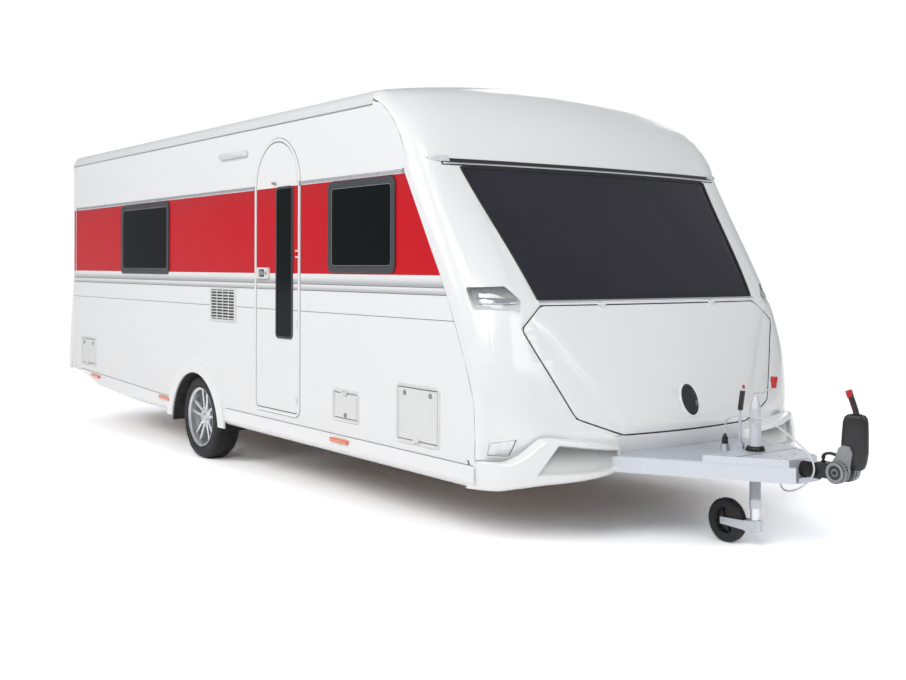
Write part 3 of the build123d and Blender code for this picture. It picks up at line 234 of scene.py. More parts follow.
# The painted pattern: heights of edges, places along x from DATUM_X.
UPPER_STRIPE = (1.365, 1.416)
UPPER_FADE = (1.362, 1.418)
LOWER_STRIPE = (1.324, 1.357)
LOWER_FADE = (1.318, 1.362)
THIN_LINES = ((1.361, 1.365), (1.321, 1.325))
PIN_LINE = (1.1855, 1.1895)
PIN_LINE_END = 3.44
BAND_END = 2.95  # at the band's head
BAND_LEAN = .34 / .57  # forward, per metre down
# Heights over which a painted reflection darkens the red band towards its top.
BAND_TOP_PAINTED_REFLECTION = (1.8, 2.02)
SPRAY = (.4, .62)  # where the road's dust fades out


def painted_wall():
    """White sheet with the red band, two graded stripes and thin lines."""
    tone, sizes = bpy.context.scene.caravan_colours, bpy.context.scene.caravan_sizes
    f = Finish("painted_wall")
    x, _, z = f.axes()
    slope = (sizes.band_high - z) * BAND_LEAN
    inside = 1 - (x - slope - (DATUM_X + BAND_END)).ramp(-.001, .001)
    band = z.between(sizes.band_low, sizes.band_high) * inside
    upper = z.between(*UPPER_STRIPE) * inside
    lower = z.between(*LOWER_STRIPE) * inside
    high_line, low_line = (z.between(*edges) for edges in THIN_LINES)
    end = DATUM_X + PIN_LINE_END
    pin = z.between(*PIN_LINE) * (1 - x.ramp(end, end + .001))
    white = f.mix(f.noise(1.3) * .5, tone.body, [c * .965 for c in tone.body])
    # The band's red, darker towards its top: a painted reflection.
    red = f.mix(z.ramp(*BAND_TOP_PAINTED_REFLECTION) * .3, tone.band, [c * .55 + .03 for c in tone.band])
    base = f.mix(band, white, red)
    base = f.mix(upper * (1 - z.ramp(*UPPER_FADE)), base, tone.stripe)
    base = f.mix(lower * (1 - z.ramp(*LOWER_FADE)), base, tone.stripe)
    base = f.mix(((high_line + low_line) * inside + pin).lowest(1), base, tone.line)
    dust = (1 - z.ramp(*SPRAY)) * f.noise(26) * .07
    base = f.mix(dust, base, srgb(196, 192, 184))
    peel = f.noise(420, 2) * .5 + f.noise(38, 2) * .5
    return f.surface(base, f.noise(5) * .08 + .26 + dust * .5, f.bump(peel, .00006, .5),
                     Specular_IOR_Level=.14, Coat_Weight=.03, Coat_Roughness=.08)


def gelcoat(name="gelcoat"):
    """Glossy white moulding with faint waviness, a little duller near the ground. The bumpers' recesses
    are grey, partly their own colour and partly painted shade that darkens them under their upper edge."""
    tone = bpy.context.scene.caravan_colours
    f = Finish(name)
    z = f.axes()[2]
    base = f.mix(f.noise(1.1) * .5, tone.body, [c * .965 for c in tone.body])
    dust = (1 - z.ramp(.34, .56)) * f.noise(24) * .1
    base = f.mix(dust, base, srgb(192, 189, 182))
    if name == "bumper_gelcoat":
        sink = f.add("ShaderNodeAttribute", {"attribute_name": "sink"}, output="Fac")
        # Grey of the recess, darkened towards its upper edge by painted shade.
        grey = f.mix(z.ramp(.43, .545), srgb(214, 215, 212), srgb(112, 114, 113))
        base = f.mix(sink, base, grey)
    peel = f.noise(300, 2) * .4 + f.noise(16, 2) * .6
    return f.surface(base, f.noise(6) * .08 + .15 + dust * .5, f.bump(peel, .00012, .5),
                     Coat_Weight=.25, Coat_Roughness=.05)


def roof_sheet():
    """White roof sheet with a fine stucco grain and weathered streaks."""
    f = Finish("roof_sheet")
    streak = f.noise(3, 4, stretch=(.4, 3.0, 1.0))
    base = f.mix(streak * .35, srgb(236, 237, 237), srgb(210, 212, 212))
    return f.surface(base, streak * .15 + .32, f.bump(f.noise(160, 2), .0003, .4))


def tinted_acrylic(kind):
    """Dark tinted acrylic, nearly opaque, with a slow ripple in its gloss."""
    tone = bpy.context.scene.caravan_colours
    f = Finish(f"tinted_acrylic_{kind}")
    shade = tone.screen if kind == "screen" else tone.glass
    cloud = f.noise(1.6, 2)
    base = f.mix(cloud, [c * .8 for c in shade], [c * 1.2 for c in shade])
    gloss = .22 if kind == "screen" else .06
    return f.surface(base, cloud * .05 + .1, f.bump(f.noise(5, 1), .0006, .2), Specular_IOR_Level=gloss)


def moulded_plastic(name, shade, rough, scale=600):
    """Moulded plastic with a fine spark-eroded grain and a little wear in its gloss."""
    f = Finish(f"moulded_{name}")
    worn = f.noise(14, 4)
    base = f.mix(worn * .6, shade, [c * .86 + .008 for c in shade])
    return f.surface(base, worn * .12 + rough - .06, f.bump(f.noise(scale, 2), .0001, .6))


def anodised():
    """Drawn aluminium, brushed along X."""
    f = Finish("anodised")
    shade = (.72, .73, .75)
    hair = f.noise(6, 3, stretch=(1.5, 90, 90))
    base = f.mix(f.noise(3, 2) * .5, shade, [c * .88 for c in shade])
    return f.surface(base, hair * .12 + .22, f.bump(hair, .00005, .35), Metallic=.85)


def chromed():
    """Polished plating with a faint haze."""
    f = Finish("chromed")
    haze = f.noise(9, 3)
    base = f.mix(haze, (.8, .81, .84), (.7, .71, .75))
    return f.surface(base, haze * .08 + .08, f.bump(f.noise(60, 1), .00005, .3), Metallic=1.0)


def galvanised():
    """Hot-dip zinc: flat crystals of slightly different grey, dull patches and runs."""
    tone = bpy.context.scene.caravan_colours
    f = Finish("galvanised")
    cells = f.add("ShaderNodeTexVoronoi", inputs={"Vector": f.place, "Scale": 130}, output="Color")
    grey = f.add("ShaderNodeSeparateColor", inputs={0: cells})
    patch = f.noise(7, 4)
    spangle = grey * .45 + patch * .55
    base = f.mix(spangle, [c * .92 for c in tone.steel], [min(1, c * 1.07) for c in tone.steel])
    base = f.mix(patch.ramp(.66, .8) * .2, base, srgb(150, 155, 162))
    return f.surface(base, grey * .1 + patch * .14 + .26, f.bump(patch, .0006, .35), Metallic=.35)


def cast_paint():
    """Painted casting: orange-peel over a rough skin, rubbed in patches."""
    f = Finish("cast_paint")
    shade = srgb(34, 35, 37)
    worn = f.noise(18, 5)
    base = f.mix(worn.ramp(.55, .75), shade, [c * 1.9 + .012 for c in shade])
    return f.surface(base, worn * .2 + .34, f.bump(f.noise(130, 4), .0004, .45))


def wheel_silver():
    """Silver wheel lacquer with fine flake, darker with brake dust in the corners."""
    f = Finish("wheel_silver")
    flake = f.noise(900, 1)
    soot = f.noise(22, 4)
    radius = f.add("ShaderNodeVectorMath", {"operation": "LENGTH"}, {
        0: f.add("ShaderNodeMapping", inputs={
            "Vector": f.place, "Location": (-WHEEL_X, 0, -WHEEL_Z), "Scale": (1, 0, 1)})},
        output="Value")
    dust = ((1 - radius.ramp(.06, .12)) * .5 + radius.ramp(.17, .2) * .6) * soot
    base = f.mix(flake * .5, srgb(224, 226, 228), srgb(196, 198, 202))
    base = f.mix(dust, base, srgb(140, 139, 138))
    return f.surface(base, dust * .3 + .26, f.bump(flake, .00004, .3), Metallic=.75,
                     Coat_Weight=.4, Coat_Roughness=.08)


def tyre_rubber():
    """Black tyre rubber, greyer where the road has rubbed it."""
    f = Finish("tyre_rubber")
    cloud = f.noise(24, 4)
    base = f.mix(cloud.ramp(.4, .8) * .5, srgb(26, 26, 27), srgb(62, 60, 57))
    return f.surface(base, cloud * .18 + .62, f.bump(f.noise(500, 2), .0002, .5))


def soft_rubber():
    """Matt black moulded rubber."""
    f = Finish("soft_rubber")
    cloud = f.noise(30, 3)
    base = f.mix(cloud * .6, srgb(22, 22, 23), srgb(44, 43, 42))
    return f.surface(base, cloud * .15 + .52, f.bump(f.noise(380, 2), .0002, .4))


def lens(name, shade, clear=0.0, ribs=150.0):
    """Lamp lens with rows of prisms moulded in it."""
    f = Finish(f"lens_{name}")
    x, y, z = f.axes()
    prisms = ((x + y) * ribs * 2).wave() * .5 + (z * ribs * 2).wave() * .5
    base = f.mix(prisms.ramp(-.8, .8) * .3, shade, [min(1, c * 1.35 + .02) for c in shade])
    return f.surface(base, f.noise(30) * .06 + .1, f.bump(prisms, .0006, .4),
                     Metallic=clear, Coat_Weight=.8, Coat_Roughness=.03)


def floor_ply():
    """Varnished plywood: long grain with darker pores."""
    f = Finish("floor_ply")
    grain = f.noise(5, 6, stretch=(.5, 9, 9), rough=.6)
    pores = f.noise(40, 3, stretch=(.6, 14, 14))
    base = f.mix(grain, srgb(150, 118, 82), srgb(104, 78, 52))
    base = f.mix(pores.ramp(.58, .72) * .5, base, srgb(62, 46, 32))
    return f.surface(base, grain * .2 + .4, f.bump(pores, .0003, .3))


def liner_felt():
    """Dark moulded liner of the wheel boxes, dusty with road dirt."""
    f = Finish("liner_felt")
    dirt = f.noise(12, 5)
    base = f.mix(dirt.ramp(.4, .75) * .6, srgb(40, 40, 41), srgb(88, 84, 78))
    return f.surface(base, dirt * .2 + .7, f.bump(f.noise(220, 3), .0008, .5))


def grip_shade():
    """Grained plastic of the grips' wells, with painted shade that darkens it upwards, under the
    overhang.
    """
    f = Finish("grip_shade")
    grain = f.noise(40, 3)
    # Share of painted shade: it grows towards the top of the well, with a little grain.
    share = (f.axes()[2].ramp(1.245, 1.372) * .85 + grain * .15).lowest(1)
    base = f.mix(share, srgb(226, 228, 226), srgb(92, 95, 98))
    return f.surface(base, grain * .12 + .36, f.bump(grain, .0004, .5))


def set_plastic(name, setting, rough):
    """Moulded plastic in the colour of a setting."""
    return moulded_plastic(name, tuple(getattr(bpy.context.scene.caravan_colours, setting)), rough)


FINISHES = {
    "painted_wall": painted_wall,
    "gelcoat": gelcoat,
    "bumper_gelcoat": partial(gelcoat, "bumper_gelcoat"),
    "roof_sheet": roof_sheet,
    "screen_acrylic": partial(tinted_acrylic, "screen"),
    "pane_acrylic": partial(tinted_acrylic, "pane"),
    "frame_plastic": partial(set_plastic, "frame_grey", "frame_grey", .42),
    "red_plastic": partial(set_plastic, "red", "accent", .3),
    "black_plastic": partial(moulded_plastic, "black", srgb(20, 19, 21), .34),
    "dark_grip": partial(moulded_plastic, "dark_grip", srgb(46, 44, 48), .3, 200),
    "white_plastic": partial(moulded_plastic, "white", srgb(236, 236, 234), .34),
    "grey_plastic": partial(moulded_plastic, "grey", srgb(150, 151, 154), .38),
    "white_sheath": partial(moulded_plastic, "sheath", srgb(226, 228, 230), .46, 900),
    "anodised": anodised,
    "chromed": chromed,
    "galvanised": galvanised,
    "cast_paint": cast_paint,
    "wheel_silver": wheel_silver,
    "tyre_rubber": tyre_rubber,
    "soft_rubber": soft_rubber,
    "clear_lens": partial(lens, "clear", srgb(228, 229, 232), clear=.15, ribs=45.0),
    "red_lens": partial(lens, "red", srgb(150, 12, 16)),
    "orange_lens": partial(lens, "orange", srgb(232, 104, 30), ribs=60.0),
    "floor_ply": floor_ply,
    "liner_felt": liner_felt,
    "grip_shade": grip_shade,
}

# Finish of each CAD node that stays in view.
NODE_FINISH = {
    "painted_wall": ("entrance_door",),
    "gelcoat": ("side_skirts", "arch_trims", "door_frame"),
    "white_plastic": ("hatch_frames", "hatch_rear", "hatch_middle", "hatch_front"),
    "galvanised": ("chassis", "axle", "drawbar", "drawbar_cover", "overrun_housing",
                   "jockey_fork", "steady_brackets", "steady_front_right",
                   "steady_front_left", "steady_rear_right", "steady_rear_left"),
    "floor_ply": ("floor", "locker_box"),
    "liner_felt": ("wheel_boxes",),
    "pane_acrylic": ("door_window",),
}


# ------------------------------------------------------------------ mesh surfaces
def shell(points, wrap_rows=False, wrap_columns=True):
    """Vertices and faces of a grid of points (rows, columns, 3). A wrapped direction joins
    its last line to its first, and the open ends of the other one are capped."""
    rows, columns = points.shape[:2]
    row = np.arange(rows if wrap_rows else rows - 1)
    column = np.arange(columns if wrap_columns else columns - 1)
    row, column = np.meshgrid(row, column, indexing="ij")
    below, beside = (row + 1) % rows, (column + 1) % columns
    corners = [row * columns + column, row * columns + beside, below * columns + beside,
               below * columns + column]
    faces = np.stack(corners, -1).reshape(-1, 4).tolist()
    index = np.arange(rows * columns).reshape(rows, columns)
    if not wrap_rows:
        faces += [index[0, ::-1].tolist(), index[-1].tolist()]
    elif not wrap_columns:
        faces += [index[::-1, 0].tolist(), index[:, -1].tolist()]
    return points.reshape(-1, 3), faces


def around(count):
    """Angles spread evenly over a full turn."""
    return np.linspace(0, 2 * math.pi, count, endpoint=False)


def body_points(*points):
    """Points (x, y, z) whose x is measured from DATUM_X, placed in the frame."""
    return np.array(points, float) + (DATUM_X, 0, 0)


def unit(vectors):
    """Vectors of length 1."""
    vectors = np.asarray(vectors, float)
    return vectors / np.linalg.norm(vectors, axis=-1, keepdims=True)


def carried(path, section, outward, closed=False):
    """A section (across, out) carried along a path, or round a closed one: each point is
    the path's point plus across times the direction at right angles to path and outward,
    plus out times the outward direction."""
    path, section = np.asarray(path, float), np.asarray(section, float)
    outward = unit(np.broadcast_to(outward, path.shape))
    ahead, behind = np.roll(path, -1, 0), np.roll(path, 1, 0)
    along = unit(ahead - behind if closed else np.gradient(path, axis=0))
    across = unit(np.cross(outward, along))
    out = unit(np.cross(along, across))
    points = (path[:, None] + section[None, :, :1] * across[:, None]
              + section[None, :, 1:] * out[:, None])
    return shell(points, wrap_rows=closed)


def turned(profile, centre, axis, count=48, closed=False):
    """A profile (along, radius) turned about an axis through centre: each point is the
    centre plus along times the axis plus radius times a direction that goes round it. A
    closed profile makes a ring, such as a tyre or a collar."""
    profile, axis = np.asarray(profile, float), unit(axis)
    side = unit(np.cross(axis, (0, 0, 1) if abs(axis[2]) < .9 else (1, 0, 0)))
    up = np.cross(axis, side)
    angle = around(count)
    spin = np.cos(angle)[:, None] * side + np.sin(angle)[:, None] * up
    points = (np.asarray(centre, float) + profile[:, None, :1] * axis + profile[:, None, 1:] * spin[None])
    return shell(points, wrap_rows=closed)


def slab(outline, origin, across, depth, bevel=.001, up=(0, 0, 1)):
    """A flat outline (across, up) given a depth with a bevelled edge on its outer face:
    rings of the outline at the back, at the bevel's foot and, pulled in, at the front."""
    outline, origin = np.asarray(outline, float), np.asarray(origin, float)
    across, up = unit(across), unit(up)
    out = np.cross(across, up)
    before, after = np.roll(outline, 1, 0), np.roll(outline, -1, 0)
    tangent = unit(after - before)
    inward = np.stack([-tangent[:, 1], tangent[:, 0]], -1)
    rings = [(outline, 0.0), (outline, depth - bevel), (outline + inward * bevel, depth)]
    points = np.stack([origin + r[:, :1] * across + r[:, 1:] * up + d * out for r, d in rings])
    return shell(points)


def round_box(width, height, radius):
    """Outline of a rectangle with round corners, counter-clockwise."""
    angle = np.linspace(0, math.pi / 2, 6)
    arc = np.stack([np.cos(angle), np.sin(angle)], -1) * radius
    quarter = np.array([width / 2 - radius, height / 2 - radius])
    corners = []
    for turn in range(4):
        c, s = round(math.cos(turn * math.pi / 2)), round(math.sin(turn * math.pi / 2))
        spin = np.array([[c, -s], [s, c]])
        middle_point = quarter * np.array([[1, 1], [-1, 1], [-1, -1], [1, -1]][turn])
        corners.append(arc @ spin.T + middle_point)
    return np.concatenate(corners)


def circle(radius, count=16):
    """Outline of a circle."""
    angle = around(count)
    return np.stack([np.cos(angle), np.sin(angle)], -1) * radius


def curve_through(points, count=40):
    """A smooth path through points: the Catmull-Rom cubic between each pair."""
    points = np.asarray(points, float)
    padded = np.concatenate([[2 * points[0] - points[1]], points, [2 * points[-1] - points[-2]]])
    t = np.linspace(0, len(points) - 1 - 1e-9, count)
    i, u = t.astype(int), (t % 1)[:, None]
    a, b, c, d = padded[i], padded[i + 1], padded[i + 2], padded[i + 3]
    return .5 * (2 * b + (c - a) * u + (2 * a - 5 * b + 4 * c - d) * u**2
                 + (3 * b - a - 3 * c + d) * u**3)


def hex_bolt(place, out, radius=.008, height=.006):
    """A hexagon head on a round washer, standing along out."""
    out = unit(out)
    washer = turned([(0, .001), (0, radius * 1.5), (height * .25, radius * 1.5), (height * .25, .001)],
                    place, out, 20)
    head = turned([(height * .2, .001), (height * .2, radius), (height * .85, radius),
                   (height, radius * .82), (height, .001)], place, out, 6)
    return [washer, head]


def dress(mesh, finish):
    """Give a mesh one finish."""
    mesh.materials.clear()
    mesh.materials.append(finish_of(finish))


def finished(mesh, finish, body, sharp):
    """The object of a mesh, smooth but for its sharp edges, riding on a body."""
    mesh.shade_smooth()
    mesh.set_sharp_from_angle(angle=math.radians(sharp))
    dress(mesh, finish)
    made = bpy.data.objects.new(mesh.name, mesh)
    bpy.context.scene.collection.objects.link(made)
    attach(made, body)
    return made


def piece(name, parts, finish, body=ROOT, replaces=(), mirrored=False, sharp=35):
    """One object from closed parts (vertices, faces). A mirrored piece has a copy of
    every part on the other side of the middle plane."""
    vertices, faces, count = [], [], 0
    for points, quads in parts:
        for side in (1, -1) if mirrored else (1,):
            vertices.append(points * (1, side, 1))
            faces += [[i + count for i in quad] for quad in quads]
            count += len(points)
    mesh = bpy.data.meshes.new(name)
    mesh.from_pydata(np.concatenate(vertices), [], faces)
    build = bmesh.new()
    build.from_mesh(mesh)
    bmesh.ops.remove_doubles(build, verts=build.verts, dist=1e-6)
    bmesh.ops.recalc_face_normals(build, faces=build.faces)
    build.to_mesh(mesh)
    build.free()
    made = finished(mesh, finish, body, sharp)
    if replaces:
        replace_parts(made, *replaces)
    return made


def line_points(ends, count):
    """Points spread along a polyline by length."""
    ends = np.asarray(ends, float)
    run = np.concatenate([[0], np.cumsum(np.linalg.norm(np.diff(ends, axis=0), axis=1))])
    t = np.linspace(0, run[-1], count)
    return np.stack([np.interp(t, run, ends[:, i]) for i in range(ends.shape[1])], -1)


# ------------------------------------------------------------------ operators
class CaravanPiece:
    """What every operator of the caravan has in common."""

    bl_options = {"REGISTER", "UNDO"}

    def execute(self, context):
        self.build(context.scene.caravan_colours, context.scene.caravan_sizes)
        return {"FINISHED"}


# camera, fitted to a body 2.5 m wide
EYE = Vector((7.188, -4.837, 1.477))
YAW, PITCH, ROLL = math.radians(143.563), math.radians(-.158), math.radians(.174)
LENS_MM = 45.2
SENSOR_MM = 36.0
SHIFT_UP = -.0773
FLOOR_GAIN = 1.9  # the floor's brightness to the camera, so that it is white but for shadows


class CARAVAN_OT_stage(CaravanPiece, bpy.types.Operator):
    """Camera, floor, sky and soft lamps"""

    bl_idname = "caravan.stage"
    bl_label = "Stage"

    def build(self, tone, sizes):
        scene = bpy.context.scene
        scene.view_settings.view_transform = "Standard"
        camera = bpy.data.objects.new("camera", bpy.data.cameras.new("camera"))
        scene.collection.objects.link(camera)
        scene.camera = camera
        camera.data.sensor_width, camera.data.lens = SENSOR_MM, LENS_MM
        camera.data.shift_y = SHIFT_UP
        camera.data.clip_end = 200
        ahead = Vector((math.cos(YAW) * math.cos(PITCH), math.sin(YAW) * math.cos(PITCH),
                        math.sin(PITCH)))
        right = Vector((math.sin(YAW), -math.cos(YAW), 0))
        up = right.cross(ahead)
        turned_right = math.cos(ROLL) * right + math.sin(ROLL) * up
        turned_up = math.cos(ROLL) * up - math.sin(ROLL) * right
        camera.matrix_world = Matrix.Translation(EYE) @ Matrix(
            (turned_right, turned_up, -ahead)).transposed().to_4x4()
        self.floor()
        self.sky()
        for name, place, power, width, height in (
            ("key", (6.5, -7.5, 6.5), 315, 5.0, 3.5),
            ("front", (9.5, -.5, 4.5), 110, 4.0, 3.0),
            ("side", (-3.0, -9.0, 5.5), 275, 7.0, 3.0),
            ("back", (-4.0, 8.0, 6.0), 120, 6.0, 4.0),
        ):
            lamp = bpy.data.objects.new(name, bpy.data.lights.new(name, "AREA"))
            scene.collection.objects.link(lamp)
            lamp.data.shape, lamp.data.size, lamp.data.size_y = "RECTANGLE", width, height
            lamp.data.energy = power
            lamp.location = place
            aim = Vector((.5, 0, 1.0)) - Vector(place)
            lamp.rotation_euler = aim.to_track_quat("-Z", "Y").to_euler()

    def floor(self):
        """A broad pale floor that shows as near white to the camera and keeps shadows."""
        f = Finish("studio_floor")
        ray = f.add("ShaderNodeLightPath", output="Is Camera Ray")
        gloss = f.add("ShaderNodeLightPath", output="Is Glossy Ray")
        shade = f.mix(f.noise(.6) * .3, srgb(236, 236, 236), srgb(230, 230, 230))
        diffuse = f.add("ShaderNodeBsdfDiffuse", inputs={"Color": shade})
        bright = f.add("ShaderNodeBsdfDiffuse", inputs={"Color": (FLOOR_GAIN,) * 3})
        white = f.add("ShaderNodeEmission", inputs={"Color": (1, 1, 1), "Strength": 1.0})
        away = f.add("ShaderNodeVectorMath", {"operation": "LENGTH"}, {
            0: f.add("ShaderNodeMapping", inputs={"Vector": f.place, "Scale": (.8, 1, 1)})},
            output="Value")
        near = f.add("ShaderNodeMixShader", inputs={0: away.ramp(3.4, 7.5), 1: bright, 2: white})
        shown = f.add("ShaderNodeMixShader", inputs={0: ray.highest(gloss), 1: diffuse, 2: near})
        f.add("ShaderNodeOutputMaterial", inputs={"Surface": shown})
        mesh = bpy.data.meshes.new("studio_floor")
        mesh.from_pydata([(-60, -60, 0), (60, -60, 0), (-60, 60, 0), (60, 60, 0)], [],
                         [(0, 1, 3, 2)])
        mesh.materials.append(f.material)
        ground = bpy.data.objects.new("studio_floor", mesh)
        bpy.context.scene.collection.objects.link(ground)

    def sky(self):
        """An even pale sky, white to the camera."""
        world = bpy.data.worlds.new("sky")
        bpy.context.scene.world = world
        world.use_nodes = True
        tree = world.node_tree
        tree.nodes.clear()
        ray = tree.nodes.new("ShaderNodeLightPath")
        mix = tree.nodes.new("ShaderNodeMixShader")
        out = tree.nodes.new("ShaderNodeOutputWorld")
        tree.links.new(ray.outputs["Is Camera Ray"], mix.inputs[0])
        for socket, shade, strength in ((1, (.93, .95, 1, 1), .42), (2, (1, 1, 1, 1), 1.0)):
            light = tree.nodes.new("ShaderNodeBackground")
            light.inputs["Color"].default_value = shade
            light.inputs["Strength"].default_value = strength
            tree.links.new(light.outputs[0], mix.inputs[socket])
        tree.links.new(mix.outputs[0], out.inputs["Surface"])


# The connector lead: x from DATUM_X, y, z, from the parked plug over the drawbar and
# up into the tip plate.
LEAD = (
    (4.197, 0.0, .582), (4.197, 0.0, .62), (4.227, -.024, .664),
    (4.292, -.05, .69), (4.37, -.066, .702), (4.455, -.072, .703),
    (4.535, -.074, .692), (4.605, -.075, .668), (4.668, -.077, .636),
    (4.728, -.081, .603), (4.786, -.085, .567), (4.824, -.087, .52),
    (4.828, -.084, .474), (4.802, -.078, .432), (4.758, -.07, .396),
    (4.71, -.062, .366), (4.66, -.052, .348), (4.618, -.043, .344),
    (4.59, -.037, .363), (4.59, -.037, .398),
)


class CARAVAN_OT_lead(CaravanPiece, bpy.types.Operator):
    """Connector lead and its parked plug"""

    bl_idname = "caravan.lead"
    bl_label = "Connector lead"

    def build(self, tone, sizes):
        route = [(DATUM_X + x, y, z) for x, y, z in LEAD][::-1]
        data = bpy.data.curves.new("connector_lead", "CURVE")
        data.dimensions = "3D"
        line = data.splines.new("NURBS")
        line.points.add(len(route) - 1)
        for point, place in zip(line.points, route):
            point.co = (*place, 1)
        line.order_u = 3
        line.use_endpoint_u = True
        data.resolution_u = 8
        data.bevel_depth = sizes.lead_diameter / 2
        data.bevel_resolution = 4
        data.use_fill_caps = True
        dress(data, "white_sheath")
        lead = bpy.data.objects.new("connector_lead", data)
        bpy.context.scene.collection.objects.link(lead)
        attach(lead, ROOT)
        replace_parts(lead, "cable")
        plug = self.plug()

    def plug(self):
        """A round multi-pin plug with grip ribs and a tapered strain relief."""
        low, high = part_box("plug")
        x, y, _ = middle("plug")
        base, top = low.z, high.z
        profile = [(0, .001), (0, .0165), (.04, .0165), (.042, .0173), (.058, .0173)]
        profile += [(.058 + .004 * i, .0172 if i % 2 else .015) for i in range(1, 6)]
        profile += [(.082, .0125), (top - base - .004, .0075), (top - base, .0065), (top - base, .001)]
        body = turned(profile, (x, y, base), (0, 0, 1), 32)
        return piece("lead_plug", [body], "black_plastic", replaces=("plug",))


WHEEL_X = DATUM_X + .07
WHEEL_Z = .317
TYRE_HALF = .1025
TYRE_MIDDLE_Y = 1.105
TREAD_SLOTS = 72
# The sidewall from shoulder to bead, and the inside from there. Columns: place in from
# the tyre's face, radius.
SIDEWALL = ((.019, .309), (.008, .3), (.003, .289), (.0005, .276), (0, .264), (.0012, .2625),
            (.0005, .261), (.004, .248), (.0025, .246), (.004, .244), (.007, .236),
            (.005, .233), (.012, .2305), (.017, .228), (.018, .212))
LINING = ((.032, .212), (.013, .262), (.028, .293), (.045, .304))


class CARAVAN_OT_tyres(CaravanPiece, bpy.types.Operator):
    """Road tyres with grooved treads and moulded sidewalls"""

    bl_idname = "caravan.tyres"
    bl_label = "Tyres"

    def build(self, tone, sizes):
        for side, name in ((-1, "right"), (1, "left")):
            points = self.surface(side, sizes.groove_depth)
            piece(f"road_tyre_{name}", [shell(points, wrap_rows=True)], "tyre_rubber",
                  f"wheel_{name}", (f"tyre_{name}",), sharp=28)

    def surface(self, side, depth):
        """The tyre: a closed profile of across and radius turned about the axle. The
        tread's radius drops by the groove depth in four rings and in slanted slots
        between them, and the sidewall has three fine rings and a rim guard."""
        half, top = TYRE_HALF, WHEEL_Z
        tread = np.linspace(-1, 1, 57)
        crown = top - .0045 * np.abs(tread) ** 4
        outer, inner = ([(half - d, r) for d, r in rows] for rows in (
            ((.03, crown[-1] - .0005), *SIDEWALL), LINING))
        back = [(-a, r) for a, r in outer[::-1]]
        lining = [*inner, *[(-a, r) for a, r in inner[::-1]]]
        tread_a = tread * (half - .034)
        profile = np.array([*zip(tread_a, crown), *outer, *lining, *back], float)
        angle = around(720)
        a, r = profile[:, 0][:, None], profile[:, 1][:, None] * np.ones(720)
        on_tread = (np.arange(len(profile)) < len(tread))[:, None]
        ring = np.zeros_like(a)
        for centre, width in ((-.04, .0042), (-.0135, .0048), (.0135, .0048), (.04, .0042)):
            ring = np.maximum(ring, np.clip((width - np.abs(a - centre)) / .0012, 0, 1))
        phase = (angle[None] * TREAD_SLOTS + np.abs(a) * 260 + np.sign(a) * 1.2) % (2 * math.pi)
        slot = np.clip((.55 - np.abs(phase - math.pi)) / .12, 0, 1)
        ribs = (np.abs(a) > .018) & (np.abs(a) < .075)
        cut = np.maximum(ring, slot * ribs * .85)
        r = r - np.where(on_tread, cut * depth, 0)
        shoulder = np.isclose(np.arange(len(profile)), len(tread))[:, None]
        phase = (angle[None] * TREAD_SLOTS) % (2 * math.pi)
        notch = np.clip((.5 - np.abs(phase - math.pi)) / .2, 0, 1) * .0025
        r = r - np.where(shoulder, notch, 0)
        x = WHEEL_X + r * np.cos(angle)
        y = side * TYRE_MIDDLE_Y + np.broadcast_to(a * -side, r.shape)
        z = WHEEL_Z + r * np.sin(angle)
        return np.stack([x, y, z], -1)


# ------------------------------------------------------------------ the rounded front
SEAM_X = DATUM_X + 2.61  # joint between the roof panel and the front moulding
# Side-view stations of the front. Columns: inset from the side; then height and x of the
# brow, its turn, the windscreen's top and foot, the belly, the nose, the tip and the
# chin. The brow's and turn's heights are from the eaves, and every x from DATUM_X.
FRONT = np.array([
    (0, -.018, 2.69, -.165, 2.862, 2.03, 2.962, 1.29, 3.368, .99, 3.512, .77, 3.592,
     .6, 3.602, FLOOR_Z, 3.6),
    (.08, .02, 2.76, -.15, 2.975, 2.055, 3.11, 1.288, 3.549, .99, 3.66, .77, 3.69,
     .61, 3.69, FLOOR_Z, 3.655),
    (.25, .05, 2.8, -.13, 3.015, 2.042, 3.147, 1.294, 3.648, .985, 3.745, .745, 3.79,
     .59, 3.8, FLOOR_Z, 3.76),
    (.75, .084, 2.838, -.11, 3.06, 2.057, 3.19, 1.285, 3.689, .985, 3.815, .745, 3.897,
     .582, 3.929, FLOOR_Z, 3.869),
    (HALF_WIDTH, .095, 2.85, -.1, 3.075, 2.062, 3.205, 1.282, 3.702, .985, 3.838, .745,
     3.932, .58, 3.972, FLOOR_Z, 3.905),
])
SEAM_RISE = np.array([0.0, .062, .102, .147, .162])  # the seam above the eaves
BROW_STEPS = 4
CORNER = 1.4  # how fast the rounded corner leaves its second station
CORNER_START = 1.6  # how fast it leaves the wall


def circle_through(a, b, c):
    """Centre and radius of the circle through three points."""
    a, b, c = (np.asarray(p, float) for p in (a, b, c))
    rows = 2 * np.stack([b - a, c - a])
    centre = np.linalg.solve(rows, [b @ b - a @ a, c @ c - a @ a])
    return centre, np.linalg.norm(a - centre)


def arc_points(a, b, c, steps):
    """Points along the arc from a through b, short of c."""
    centre, radius = circle_through(a, b, c)
    start, end = (math.atan2(*(np.asarray(p) - centre)[::-1]) for p in (a, c))
    angle = start + (end - start) * np.arange(steps) / steps
    return centre + radius * np.stack([np.cos(angle), np.sin(angle)], -1)


def station_nodes():
    """The (x, z) nodes of every station from the seam to the chin: (station, node, 2)."""
    stations = []
    for row, rise in zip(FRONT, SEAM_RISE):
        heights, places = row[1::2] + EAVE_Z * (np.arange(8) < 2), row[2::2] + DATUM_X
        brow, turn, glass = zip(places[:3], heights[:3])
        lower = np.stack([places[2:], heights[2:]], -1)
        stations.append(np.concatenate([[(SEAM_X, EAVE_Z + rise)],
                                        arc_points(brow, turn, glass, BROW_STEPS), lower]))
    return np.array(stations)


